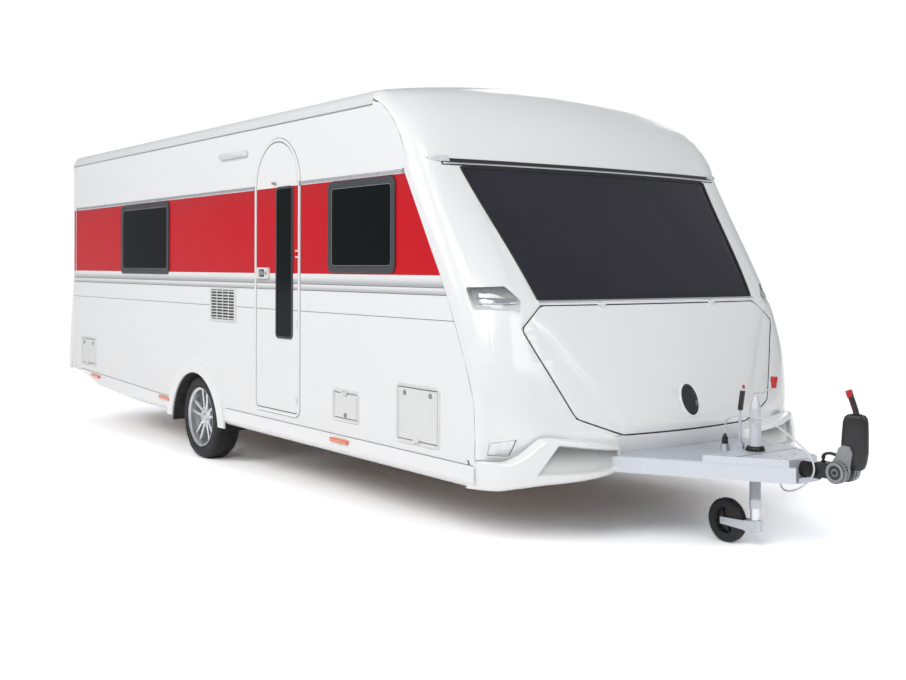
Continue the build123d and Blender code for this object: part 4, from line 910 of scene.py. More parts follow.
def roof_rise(inset):
    """Height of the roof panel's outer face at an inset from the side: its rolled edge
    and its broad crown are arcs."""
    y = HALF_WIDTH - inset
    crown, crown_r = circle_through((-1.188, .07), (0, .162), (1.188, .07))
    edge, edge_r = circle_through((1.188, .07), (1.2345, .049), (HALF_WIDTH, 0.0))
    wide = crown[1] + np.sqrt(crown_r**2 - y**2)
    rolled = edge[1] + np.sqrt(np.maximum(edge_r**2 - (y - edge[0])**2, 0))
    return EAVE_Z + np.where(y < 1.188, wide, rolled)


def hermite(t, a, b, slope_a, slope_b):
    """The cubic from a to b whose rates at its ends are given."""
    return ((2 * t**3 - 3 * t**2 + 1) * a + (t**3 - 2 * t**2 + t) * slope_a
            + (3 * t**2 - 2 * t**3) * b + (t**3 - t**2) * slope_b)


def gentle_slopes(knots, values):
    """Rates at the knots that never overshoot: the harmonic mean of both sides."""
    step = np.diff(knots).reshape(-1, *[1] * (values.ndim - 1))
    rate = np.diff(values, axis=0) / step
    before, after = rate[:-1], rate[1:]
    total = before + after
    mean = 2 * before * after / np.where(np.abs(total) < 1e-12, 1, total)
    inner = np.where(before * after > 0, mean, 0)
    return np.concatenate([rate[:1], inner, 0 * rate[-1:]])


class RoundedFront:
    """Carries points of the flat-sided front onto a smooth one.

    A point's place is its inset from the side and its share between two nodes of the
    side view there. The smooth surface runs through the same nodes: across, cubics whose
    first one leaves the wall along it; down, cubics whose rates follow the neighbours."""

    def __init__(self):
        self.nodes = station_nodes()
        self.insets = FRONT[:, 0]
        self.rates = gentle_slopes(self.insets, self.nodes)

    def flat(self, inset):
        """The nodes at an inset, straight between the stations."""
        gap = np.clip(np.searchsorted(self.insets, inset, "right") - 1, 0, 3)
        share = (inset - self.insets[gap]) / (self.insets[gap + 1] - self.insets[gap])
        share = share[:, None, None]
        return self.nodes[gap] * (1 - share) + self.nodes[gap + 1] * share

    def smooth(self, inset):
        """The nodes at an inset on the smooth surface."""
        gap = np.clip(np.searchsorted(self.insets, inset, "right") - 1, 0, 3)
        width = self.insets[gap + 1] - self.insets[gap]
        share = (inset - self.insets[gap]) / width
        trial = np.linspace(0, 1, 400)
        leave = (3 - CORNER) * trial**2 + (CORNER - 2) * trial**3
        first = gap == 0
        share = np.where(first, np.interp(share, leave, trial), share)[:, None, None]
        first, width = first[:, None, None], width[:, None, None]
        a, b = self.nodes[gap], self.nodes[gap + 1]
        rate_a = np.where(first, CORNER_START * (b - a), self.rates[gap] * width)
        rate_b = np.where(first, CORNER, 1) * self.rates[gap + 1] * width
        nodes = hermite(share, a, b, rate_a, rate_b)
        nodes[:, 0, 1] = roof_rise(inset)
        return nodes

    def tangents(self, nodes):
        """Lengths of the runs between nodes, and directions at the nodes: the mean of
        both sides, weighted by length."""
        length = np.linalg.norm(np.diff(nodes, axis=1), axis=-1)[..., None]
        chord = np.diff(nodes, axis=1) / np.maximum(length, 1e-9)
        before, after = length[:, :-1], length[:, 1:]
        inner = (chord[:, :-1] * before + chord[:, 1:] * after) / (before + after)
        start = np.broadcast_to([1.0, 0.0], inner[:, :1].shape)
        return length, np.concatenate([start, inner, chord[:, -1:]], 1)

    def at(self, y, z):
        """The smooth surface's x at places (y, z)."""
        nodes = self.smooth(np.clip(HALF_WIDTH - np.abs(y), 0, HALF_WIDTH))
        length, tangent = self.tangents(nodes)
        t = np.linspace(0, 1, 10, endpoint=False)[None, None, :, None]
        a, b = nodes[:, :-1, None], nodes[:, 1:, None]
        start, end = (tangent[:, :-1] * length)[:, :, None], (tangent[:, 1:] * length)[:, :, None]
        curve = hermite(t, a, b, start, end)
        curve = np.concatenate([curve.reshape(len(y), -1, 2), nodes[:, -1:]], 1)
        k = np.clip((curve[:, :, 1] > z[:, None]).sum(1), 1, curve.shape[1] - 1)
        row = np.arange(len(y))
        (x0, z0), (x1, z1) = curve[row, k - 1].T, curve[row, k].T
        return x0 + (z0 - z) / np.where(z0 == z1, 1, z0 - z1) * (x1 - x0)

    def placed(self, points):
        """Places and outward directions on the smooth surface at points (y, z)."""
        y, z = np.asarray(points, float).T
        step = .002
        across = (self.at(y + step, z) - self.at(y - step, z)) / (2 * step)
        up = (self.at(y, z + step) - self.at(y, z - step)) / (2 * step)
        normal = unit(np.stack([np.ones_like(y), -across, -up], -1))
        return np.stack([self.at(y, z), y, z], -1), normal

    def moved(self, points, reach=.075):
        """Points carried onto the smooth front. Those deeper than reach stay."""
        inset = np.clip(HALF_WIDTH - np.abs(points[:, 1]), 0, HALF_WIDTH)
        flat, smooth = self.flat(inset), self.smooth(inset)
        here = points[:, None, [0, 2]]
        a, run = flat[:, :-1], np.diff(flat, axis=1)
        share = np.clip(((here - a) * run).sum(-1) / (run**2).sum(-1), 0, 1)
        on = a + share[..., None] * run
        away = np.linalg.norm(here - on, axis=-1)
        k = away.argmin(1)
        row = np.arange(len(points))
        t, away = share[row, k][:, None], away[row, k]
        length, tangent = self.tangents(smooth)
        start, end = (tangent[row, i] * length[row, k] for i in (k, k + 1))
        new = hermite(t, smooth[row, k], smooth[row, k + 1], start, end)
        shift = new - on[row, k]
        shift = shift * (away < reach)[:, None] * (points[:, 0] > SEAM_X - .0005)[:, None]
        out = points.copy()
        out[:, 0] += shift[:, 0]
        out[:, 2] += shift[:, 1]
        return out


FRONT_SHAPE = RoundedFront()


def copied(name, node, finish, body=ROOT, cuts=(), bend=None, rounding=0.0):
    """A merged copy of a CAD node that stands for it: cut along planes (point, normal),
    its sharp edges rounded over and its points carried by bend."""
    mesh = NODES[node].data.copy()
    mesh.name = name
    build = bmesh.new()
    build.from_mesh(mesh)
    bmesh.ops.remove_doubles(build, verts=build.verts, dist=2e-5)
    bmesh.ops.dissolve_degenerate(build, edges=build.edges, dist=2e-5)
    bmesh.ops.dissolve_limit(build, angle_limit=math.radians(.3), verts=build.verts, edges=build.edges)
    if rounding:
        edges = [e for e in build.edges if len(e.link_faces) == 2
                 and e.calc_face_angle() > math.radians(35) and e.calc_length() > 3 * rounding]
        bmesh.ops.bevel(build, geom=edges, offset=rounding, offset_type="OFFSET", segments=2,
                        profile=.5, affect="EDGES", clamp_overlap=True)
    for place, normal in cuts:
        bmesh.ops.bisect_plane(build, geom=[*build.verts, *build.edges, *build.faces],
                               plane_co=place, plane_no=normal, dist=1e-6)
    bmesh.ops.triangulate(build, faces=[f for f in build.faces if len(f.verts) > 4])
    build.to_mesh(mesh)
    build.free()
    if bend:
        points = np.empty(3 * len(mesh.vertices))
        mesh.vertices.foreach_get("co", points)
        mesh.vertices.foreach_set("co", bend(points.reshape(-1, 3)).ravel())
    mesh.update()
    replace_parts(finished(mesh, finish, body, 32), node)


def front_cuts(low, high, reach):
    """Planes that divide the front across and in height, close where it turns most."""
    insets = [.001, .003, .006, .01, .015, .021, .028, .036, .046, .056, .068, .08, .095,
              .115, .14, .17, .21, .25, .32, .4, .5, .62, .75, .9, 1.06, 1.25]
    planes = [((0, side * (HALF_WIDTH - i), 0), (0, 1, 0)) for i in insets
              if HALF_WIDTH - i <= reach for side in ((1, -1) if i < 1.25 else (1,))]
    heights = np.concatenate([np.arange(low, min(high, 2.0), .045), np.arange(max(low, 2.0), high, .016)])
    return planes + [((0, 0, z), (0, 0, 1)) for z in heights if low < z < high]


# The lid's crease, from its upper outer corner down towards the middle: (side, height).
CREASE = np.array([(.96, 1.21), (.5, .61)])
CREASE_AWAY = unit(CREASE[1] - CREASE[0])[::-1] * (1, -1)  # across it, towards the middle
CREASE_RISE = .012
CREASE_REACH = .035  # how far from the crease the rise takes to grow
LID_TOP, LID_TOP_FADE = 1.265, .12
LID_FOOT, LID_FOOT_FADE = .585, .06


def crease_cuts():
    """Planes along both creases, close together where the surface turns."""
    planes = []
    for side in (-1, 1):
        for step in (-.004, .004, .014, .03, .06):
            y, z = CREASE[0] + CREASE_AWAY * step
            planes.append(((0, side * y, z), (0, side * CREASE_AWAY[0], CREASE_AWAY[1])))
    return planes


def creased(points):
    """The smooth front, raised inside the creases. The rise is a saturating curve of
    the distance from the crease and fades at the lid's top and foot."""
    out = FRONT_SHAPE.moved(points)
    flat = np.stack([np.abs(points[:, 1]), points[:, 2]], -1)
    distance = np.maximum((flat - CREASE[0]) @ CREASE_AWAY, 0)
    z = points[:, 2]
    fade = np.clip((LID_TOP - z) / LID_TOP_FADE, 0, 1) * np.clip((z - LID_FOOT) / LID_FOOT_FADE, 0, 1)
    out[:, 0] += CREASE_RISE * (1 - np.exp(-distance / CREASE_REACH)) * fade
    return out


class CARAVAN_OT_front(CaravanPiece, bpy.types.Operator):
    """Rounded front moulding with its windscreen, locker lid, grips and lamps"""

    bl_idname = "caravan.front"
    bl_label = "Front"

    def build(self, tone, sizes):
        for name, node, finish, body, rounding in (
            ("front_shell", "front_moulding", "gelcoat", ROOT, .0025),
            ("front_window", "windscreen", "screen_acrylic", ROOT, .002),
            ("front_lid", "locker_lid", "gelcoat", "locker_lid", .003),
            ("front_lenses", "front_lamps", "clear_lens", ROOT, .0015),
            ("lid_handle", "locker_handle", "dark_grip", "locker_lid", .003),
        ):
            low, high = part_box(node)
            reach = max(abs(low.y), abs(high.y))
            cuts, bend = front_cuts(low.z, high.z, reach), FRONT_SHAPE.moved
            if node == "locker_lid":
                cuts += crease_cuts()
                bend = creased
            copied(name, node, finish, body, cuts, bend, rounding)


# ------------------------------------------------------------------ more surfaces
def ring(outer, inner, origin, across, depth, bevel):
    """An upright ring between two outlines of as many points, given a depth. It has
    bevelled front edges: back, bevel foot and top on the outside, then on the inside."""
    across, up = unit(across), np.array([0, 0, 1])
    out = np.cross(across, up)
    step = unit(inner - outer) * bevel
    rows = [(outer, 0), (outer, depth - bevel), (outer + step, depth), (inner - step, depth),
            (inner, depth - bevel), (inner, 0)]
    points = np.stack([origin + r[:, :1] * across + r[:, 1:] * up + d * out for r, d in rows])
    return shell(points, wrap_rows=True)


def superellipse(half_width, half_height, power=.5, count=20):
    """A soft-cornered outline: signed powers of the cosine and sine."""
    c, s = circle(1, count).T
    return np.stack([half_width * np.sign(c) * np.abs(c)**power,
                     half_height * np.sign(s) * np.abs(s)**power], -1)


def bar(start, end, width, height, outward=(0, 0, 1), power=.4):
    """A straight bar with a soft-cornered section."""
    path = np.linspace(start, end, 3)
    return carried(path, superellipse(width / 2, height / 2, power), outward)


def wall_bar(ends, width, height, proud=0.0):
    """A bar along the right wall between two places (x from DATUM_X, z), its middle
    proud of the wall."""
    start, end = body_points(*[(x, -HALF_WIDTH - proud, z) for x, z in ends])
    return bar(start, end, width, height, (0, -1, 0))


def rod(path, radius, count=16):
    """A round rod along a path."""
    return carried(path, circle(radius, count), (1, 0, .01))


# ------------------------------------------------------------------ wheels
RIM_INNER_Y = 1.01
# Half of a rim's section, from its inner flange. Columns: place across, radius.
RIM_OUTSIDE = ((0, .2255), (.003, .228), (.008, .2275), (.0105, .222), (.012, .213),
               (.04, .212), (.056, .2), (.104, .2), (.122, .212), (.178, .213),
               (.1795, .222), (.182, .2275), (.187, .228), (.19, .2255))
RIM_INSIDE = ((.19, .2232), (.184, .2215), (.178, .2075), (.16, .2055), (.125, .205),
              (.106, .193), (.054, .193), (.04, .205), (.012, .206), (.004, .2212), (0, .223))
HUB_CAP = ((-.06, .001), (-.06, .07), (-.03, .078), (-.004, .078), (.003, .074),
           (.004, .034), (.002, .033), (.002, .031), (.007, .029), (.0105, .02), (.012, .001))
HUB_FACE = 1.156
BOLT_R = .056
DRUM = ((0, .001), (0, .11), (.004, .122), (.018, .122), (.02, .118), (.026, .118),
        (.028, .122), (.06, .122), (.066, .112), (.074, .076), (.17, .074), (.17, .001))


class CARAVAN_OT_wheels(CaravanPiece, bpy.types.Operator):
    """Alloy wheels with five double spokes, hub caps, bolts and brake drums"""

    bl_idname = "caravan.wheels"
    bl_label = "Wheels"

    def build(self, tone, sizes):
        for side, name in ((-1, "right"), (1, "left")):
            body, out = f"wheel_{name}", (0, side, 0)
            centre = np.array([WHEEL_X, 0, WHEEL_Z])
            section = (*RIM_OUTSIDE, *RIM_INSIDE)
            barrel = turned(section, centre + (0, side * RIM_INNER_Y, 0), out, 96, closed=True)
            spokes = [self.spoke(side, turn * 2 * math.pi / 5 + math.pi / 2, lean)
                      for turn in range(5) for lean in (-1, 1)]
            hub = turned(HUB_CAP, centre + (0, side * HUB_FACE, 0), out, 60)
            piece(f"alloy_wheel_{name}", [barrel, *spokes, hub], "wheel_silver",
                  body, replaces=(f"rim_{name}",))
            seats, bolts = [], []
            for turn in range(5):
                angle = (turn + .5) * 2 * math.pi / 5 + math.pi / 2
                spot = centre + (BOLT_R * math.cos(angle), side * (HUB_FACE + .0035),
                                 BOLT_R * math.sin(angle))
                seats.append(turned([(-.01, .001), (-.01, .0125), (.0008, .0125), (.0008, .001)],
                                    spot, out, 20))
                bolts += hex_bolt(spot, out, .0085, .01)
            piece(f"bolt_seats_{name}", seats, "cast_paint", body)
            piece(f"wheel_bolts_{name}", bolts, "galvanised", body)
            valve = rod(np.array([centre + (.192, side * y, .02) for y in (1.12, 1.15, 1.165)]), .004, 10)
            piece(f"tyre_valve_{name}", [valve], "soft_rubber", body)
            drum = turned(DRUM, centre + (0, side * .961, 0), out, 72)
            piece(f"brake_drum_{name}", [drum], "cast_paint", body)

    def spoke(self, side, angle, lean):
        """One spoke: soft-cornered sections along the radius, wider at its ends and
        leaning away from its twin."""
        s = np.linspace(0, 1, 16)[:, None]
        radius = .05 + .158 * s
        offset = lean * (.019 + .023 * s)
        half = .01 + .006 * (2 * s - 1)**2 * s + .004 * (1 - s)**3
        face, back = 1.16 + .008 * s**2, 1.13 + .004 * s
        section = superellipse(1, 1, .45, 20)
        across = offset + section[None, :, 0] * half
        depth = (face + back) / 2 + section[None, :, 1] * (face - back) / 2
        x = WHEEL_X + radius * math.cos(angle) - across * math.sin(angle)
        z = WHEEL_Z + radius * math.sin(angle) + across * math.cos(angle)
        return shell(np.stack([x, side * depth, z], -1))


# ------------------------------------------------------------------ hitch
JOCKEY_X = DATUM_X + 4.4
JOCKEY_WHEEL = np.array([DATUM_X + 4.215, 0, .118])
BALL = np.array([DATUM_X + 4.93, 0, .455])
PLATE_Z = FLOOR_Z + .038
# Sections, from the axis outwards. Columns: place along the axis, radius.
JOCKEY_TYRE = ((-.026, .07), (-.0245, .08), (-.0255, .096), (-.024, .108), (-.017, .1165),
               (-.01, .118), (-.008, .1145), (-.005, .1145), (-.003, .118), (.003, .118),
               (.005, .1145), (.008, .1145), (.01, .118), (.017, .1165), (.024, .108),
               (.0255, .096), (.0245, .08), (.026, .07), (.02, .066), (-.02, .066))
JOCKEY_HUB = ((-.026, .0085), (-.026, .018), (-.012, .021), (-.006, .06), (-.018, .064), (-.022, .069),
              (.022, .069), (.018, .064), (.006, .06), (.012, .021), (.026, .018), (.026, .0085))
TUBE = ((.5, .001), (.5, .0245), (0, .0245), (0, .03), (.04, .03), (.042, .0312),
        (.05, .0312), (.052, .03), (.52, .03), (.528, .0285), (.584, .0135), (.588, .001))
LEG = ((0, .001), (0, .0118), (.055, .0118), (.055, .0236), (.062, .0236), (.495, .0236), (.495, .001))
PLATE_RING = ((0, .0302), (0, .052), (.004, .052), (.006, .046), (.02, .043), (.024, .039), (.024, .0302))
KNOB = ((-.006, .001), (-.006, .01), (0, .0135), (.018, .0145), (.028, .0175), (.048, .0185),
        (.054, .015), (.057, .001))
# The coupling's upright handle. Columns: height, middle x, half its depth, half its width.
UPRIGHT = ((.5, 4.985, .048, .016), (.512, 4.987, .062, .019), (.54, 4.99, .07, .0205),
           (.59, 4.996, .072, .021), (.64, 4.997, .071, .021), (.69, 4.999, .069, .0205),
           (.73, 5.0, .066, .02), (.752, 5.002, .06, .0185), (.766, 5.006, .046, .015),
           (.773, 5.01, .018, .007))
PAD = ((0, .001), (0, .052), (.006, .054), (.028, .054), (.034, .05), (.036, .036),
       (.031, .033), (.031, .02), (.034, .018), (.034, .001))


class CARAVAN_OT_hitch(CaravanPiece, bpy.types.Operator):
    """Jockey wheel, bellows, coupling, handbrake and the fittings of the drawbar"""

    bl_idname = "caravan.hitch"
    bl_label = "Hitch"

    def build(self, tone, sizes):
        self.jockey()
        self.coupling()
        self.brake()
        self.plate()

    def jockey(self):
        """Wheel with a ribbed tyre and a webbed hub, telescopic leg, crank and knob."""
        tyre = turned(JOCKEY_TYRE, JOCKEY_WHEEL, (0, 1, 0), 96, closed=True)
        ribs = [self.rib(a, (.084, y), (.104, y), .003, .002)
                for a in around(36) for y in (-.0245, .0245)]
        piece("jockey_tyre", [tyre, *ribs], "soft_rubber", "jockey_wheel", replaces=("jockey_wheel",))
        hub = turned(JOCKEY_HUB, JOCKEY_WHEEL, (0, 1, 0), 64, closed=True)
        webs = [self.rib(a, (.018, y), (.064, y * .85), .006, .012)
                for a in np.arange(4) * math.pi / 2 + .4 for y in (-.013, .013)]
        piece("jockey_hub", [hub, *webs], "black_plastic", "jockey_wheel")
        ends = [part for y in (-.037, .037)
                for part in hex_bolt(JOCKEY_WHEEL + (0, y, 0), (0, y, 0), .009, .007)]
        spindle = rod([JOCKEY_WHEEL + (0, y, 0) for y in (-.037, 0, .037)], .0078)
        piece("jockey_axle", [*ends, spindle], "galvanised", "jockey_fork")
        tube = turned(TUBE, (JOCKEY_X, 0, .214), (0, 0, 1), 48)
        piece("jockey_outer_tube", [tube], "galvanised", replaces=("jockey_tube",))
        leg = turned(LEG, (JOCKEY_X, 0, .0955), (0, 0, 1), 40)
        piece("jockey_inner_tube", [leg], "anodised", "jockey_leg", replaces=("jockey_leg",))
        collar = turned(PLATE_RING, (JOCKEY_X, 0, PLATE_Z), (0, 0, 1), 48, closed=True)
        slots = [bar((JOCKEY_X + .047 * math.cos(a), .047 * math.sin(a), PLATE_Z + .005),
                     (JOCKEY_X + .042 * math.cos(a), .042 * math.sin(a), PLATE_Z + .022), .004, .004,
                     (math.cos(a), math.sin(a), 0)) for a in around(18)]
        piece("jockey_collar", [collar, *slots], "black_plastic")
        crank_z = .818
        stub = turned([(0, .001), (0, .011), (.014, .011), (.018, .008), (.026, .008), (.028, .001)],
                      (JOCKEY_X, 0, .798), (0, 0, 1), 24)
        arm = curve_through([(JOCKEY_X, 0, crank_z), (JOCKEY_X + .03, 0, crank_z + .002),
                             (JOCKEY_X + .08, 0, crank_z + .022), (JOCKEY_X + .118, 0, crank_z + .03)],
                            16)
        pin = rod([(JOCKEY_X + .118, 0, z) for z in (.842, .86, .88)], .005)
        arm = carried(arm, superellipse(.0085, .0045, .6), (0, 0, 1))
        piece("crank_arm", [stub, arm, pin], "anodised", replaces=("jockey_crank",))
        knob = turned(KNOB, (JOCKEY_X + .118, 0, crank_z + .042), (0, 0, 1), 28)
        piece("crank_knob", [knob], "red_plastic")

    def rib(self, angle, start, end, width, height):
        """A bar on the wheel's side, between two places (radius, y)."""
        ends = [JOCKEY_WHEEL + (r * math.cos(angle), y, r * math.sin(angle)) for r, y in (start, end)]
        return bar(*ends, width, height, (0, 1, 0))

    def coupling(self):
        """Bellows, cast head with friction pads, upright handle and its lever."""
        along = np.linspace(0, .1, 97)
        ribs = .0355 + .004 * np.cos(2 * math.pi * along / .0125)
        bellows = turned([(0, .001), *zip(along, ribs), (.1, .001)],
                         (DATUM_X + 4.7, 0, .465), (1, 0, 0), 48)
        piece("ribbed_bellows", [bellows], "soft_rubber", replaces=("bellows",), sharp=60)
        copied("coupling_body", "coupling_head", "cast_paint", rounding=.003)
        pad = turned(PAD, (BALL[0], -.0345, .482), (0, -1, 0))
        piece("pad_housings", [pad], "grey_plastic", mirrored=True)
        nut = hex_bolt((BALL[0], -.0655, .482), (0, -1, 0), .013, .008)
        piece("pad_nuts", nut, "black_plastic", mirrored=True)
        rows = np.array(UPRIGHT)
        grip = self.loft(DATUM_X + rows[:, 1], rows[:, 0], rows[:, 2], rows[:, 3])
        arm = body_points((5.012, 0, .745), (5, 0, .79), (4.982, 0, .835), (4.966, 0, .872))
        piece("coupling_grip", [grip, carried(arm, superellipse(.0085, .013, .6), (1, 0, .2))],
              "black_plastic", replaces=("coupling_handle",))
        stripe = arm + (-.0135, 0, -.004)
        piece("lever_stripe", [carried(stripe, superellipse(.0045, .003, .6), (1, 0, .2))], "red_plastic")
        cheek = [(4.876, .482), (4.886, .45), (4.915, .429), (4.948, .43), (4.975, .45),
                 (4.985, .482), (4.99, .53), (5.0, .58), (4.985, .612), (4.95, .615),
                 (4.925, .6), (4.91, .56), (4.884, .52)]
        plates = [slab(cheek if side < 0 else [(-x, z) for x, z in cheek[::-1]],
                       (DATUM_X, side * .0205, 0), (-side, 0, 0), .013, .004) for side in (-1, 1)]
        piece("handle_plates", plates, "grey_plastic")
        tip = carried(body_points((4.971, 0, .85), (4.966, 0, .866), (4.96, 0, .882)),
                      superellipse(.0155, .0105, .5), (0, 1, 0))
        piece("lever_tip", [tip], "red_plastic")
        grab = curve_through(body_points((4.818, 0, .515), (4.822, 0, .548), (4.855, 0, .562),
                                         (4.9, 0, .556), (4.925, 0, .545)), 24)
        piece("grab_handle", [carried(grab, superellipse(.011, .007, .6), (0, .01, 1))], "black_plastic")

    def loft(self, x, z, half_depth, half_width):
        """A soft upright body: a superellipse at each height, with its own centre and
        half sizes along X and Y."""
        section = superellipse(1, 1, .55, 28)
        points = np.stack([x[:, None] + section[None, :, 0] * half_depth[:, None],
                           section[None, :, 1] * half_width[:, None],
                           np.broadcast_to(z[:, None], (len(z), 28))], -1)
        return shell(points)

    def brake(self):
        """Handbrake: a bracket, a flat lever with a grip and a red button."""
        path = curve_through(body_points((4.298, 0, .5), (4.3, 0, .58), (4.299, 0, .7),
                                         (4.309, 0, .78), (4.319, 0, .838)), 30)
        lever = carried(path, superellipse(.009, .006, .5), (1, 0, .01))
        cheek = [(4.232, .48), (4.328, .48), (4.322, .54), (4.3, .556), (4.276, .54)]
        brackets = [slab(cheek, (DATUM_X, y, 0), (1, 0, 0), .005) for y in (-.007, .012)]
        bolt = hex_bolt((DATUM_X + 4.3, -.012, .53), (0, -1, 0), .008, .006)
        piece("brake_lever", [lever, *brackets, *bolt], "galvanised", replaces=("handbrake_lever",))
        grip = carried(np.round(path[16:28], 6), superellipse(.0145, .0115, .7), (1, 0, .01))
        piece("brake_grip", [grip], "black_plastic")
        button = turned([(0, .001), (0, .0075), (.016, .007), (.019, .0045), (.02, .001)],
                        path[-1] - (0, 0, .004), (.17, 0, 1), 20)
        piece("brake_button", [button], "red_plastic")

    def plate(self):
        """Bolts of the drawbar cover, the plug's cup and a seam across the cover."""
        bolts = []
        for x, y in ((4.36, .3), (4.53, .205), (4.68, .11), (4.36, .12), (4.6, .06)):
            bolts += hex_bolt((DATUM_X + x, -y, PLATE_Z), (0, 0, 1))
        piece("cover_bolts", bolts, "galvanised", mirrored=True)
        sheet = slab([(3.6, -.79), (4.42, -.284), (4.42, .284), (3.6, .79)],
                     (DATUM_X, 0, FLOOR_Z), (1, 0, 0), .003, up=(0, 1, 0))
        piece("drawbar_sheet", [sheet], "galvanised")
        x, y, _ = middle("plug_holder")
        cup = turned([(0, .0182), (0, .0285), (.003, .0295), (.006, .026), (.044, .026), (.047, .0272),
                      (.05, .0268), (.05, .0182)], (x, y, FLOOR_Z), (0, 0, 1), 40, closed=True)
        piece("plug_cup", [cup], "anodised", replaces=("plug_holder",))
        seam = bar(*body_points((4.48, -.245, PLATE_Z), (4.48, .245, PLATE_Z)), .006, .0012)
        piece("cover_seam", [seam], "cast_paint")


# ------------------------------------------------------------------ windows and walls
# Openings of the windows. Columns: rear x, front x, foot, head; x from DATUM_X.
WINDOWS = {
    -1: ((-1.48, -.416, 1.41, 2.0), (2.105, 2.861, 1.437, 2.0)),
    1: ((-2.3, -1.3, 1.41, 2.0), (-.5, .7, 1.41, 2.0),
        (1.9, 2.8, 1.437, 2.0)),
}
REAR_WINDOW = (-.7, .7, 1.41, 2.0)
BODY_BACK = 2.75  # from DATUM_X back to the rear moulding
REAR_WALL = .034
REAR_FACE_X = DATUM_X - BODY_BACK - REAR_WALL
FRAME_WIDTH = .042
FRAME_PROUD = .011
RAIL_Z = 2.0165  # of the rails over the band


class CARAVAN_OT_windows(CaravanPiece, bpy.types.Operator):
    """Windows with round-cornered frames, panes, beads and their infill"""

    bl_idname = "caravan.windows"
    bl_label = "Windows"

    def build(self, tone, sizes):
        places = [(side, DATUM_X + (x0 + x1) / 2, x1 - x0, z0, z1)
                  for side, rows in WINDOWS.items() for x0, x1, z0, z1 in rows]
        windows = [self.window((x, side * HALF_WIDTH, (z0 + z1) / 2), (-side, 0, 0), width, z1 - z0)
                   for side, x, width, z0, z1 in places]
        y0, y1, z0, z1 = REAR_WINDOW
        windows.append(self.window((REAR_FACE_X, 0, (z0 + z1) / 2), (0, -1, 0), y1 - y0, z1 - z0))
        fills, frames, panes, beads = zip(*windows)
        piece("window_infill", fills, "painted_wall")
        piece("window_surrounds", frames, "frame_plastic", replaces=("window_frames",))
        piece("window_glazing", panes, "pane_acrylic", replaces=("window_panes",))
        piece("window_beads", beads, "grey_plastic")

    def window(self, origin, across, width, height):
        """One window: infill flush with the wall, surround, pane and bead."""
        out = np.cross(across, (0, 0, 1))
        hole_w, hole_h = width - 2 * FRAME_WIDTH, height - 2 * FRAME_WIDTH
        square = round_box(width - .0005, height - .0005, .001)
        outer = round_box(width - .002, height - .002, .048)
        inner = round_box(hole_w, hole_h, .026)
        inside = round_box(hole_w - .003, hole_h - .003, .025)
        bead = round_box(hole_w - .01, hole_h - .01, .022)
        return (ring(square, inner, origin - out * .034, across, .034, .0002),
                ring(outer, inner, origin - out * .004, across, FRAME_PROUD + .004, .003),
                slab(inside, origin - out * .006, across, .012, .002),
                ring(inside, bead, origin + out * .0045, across, .0035, .001))


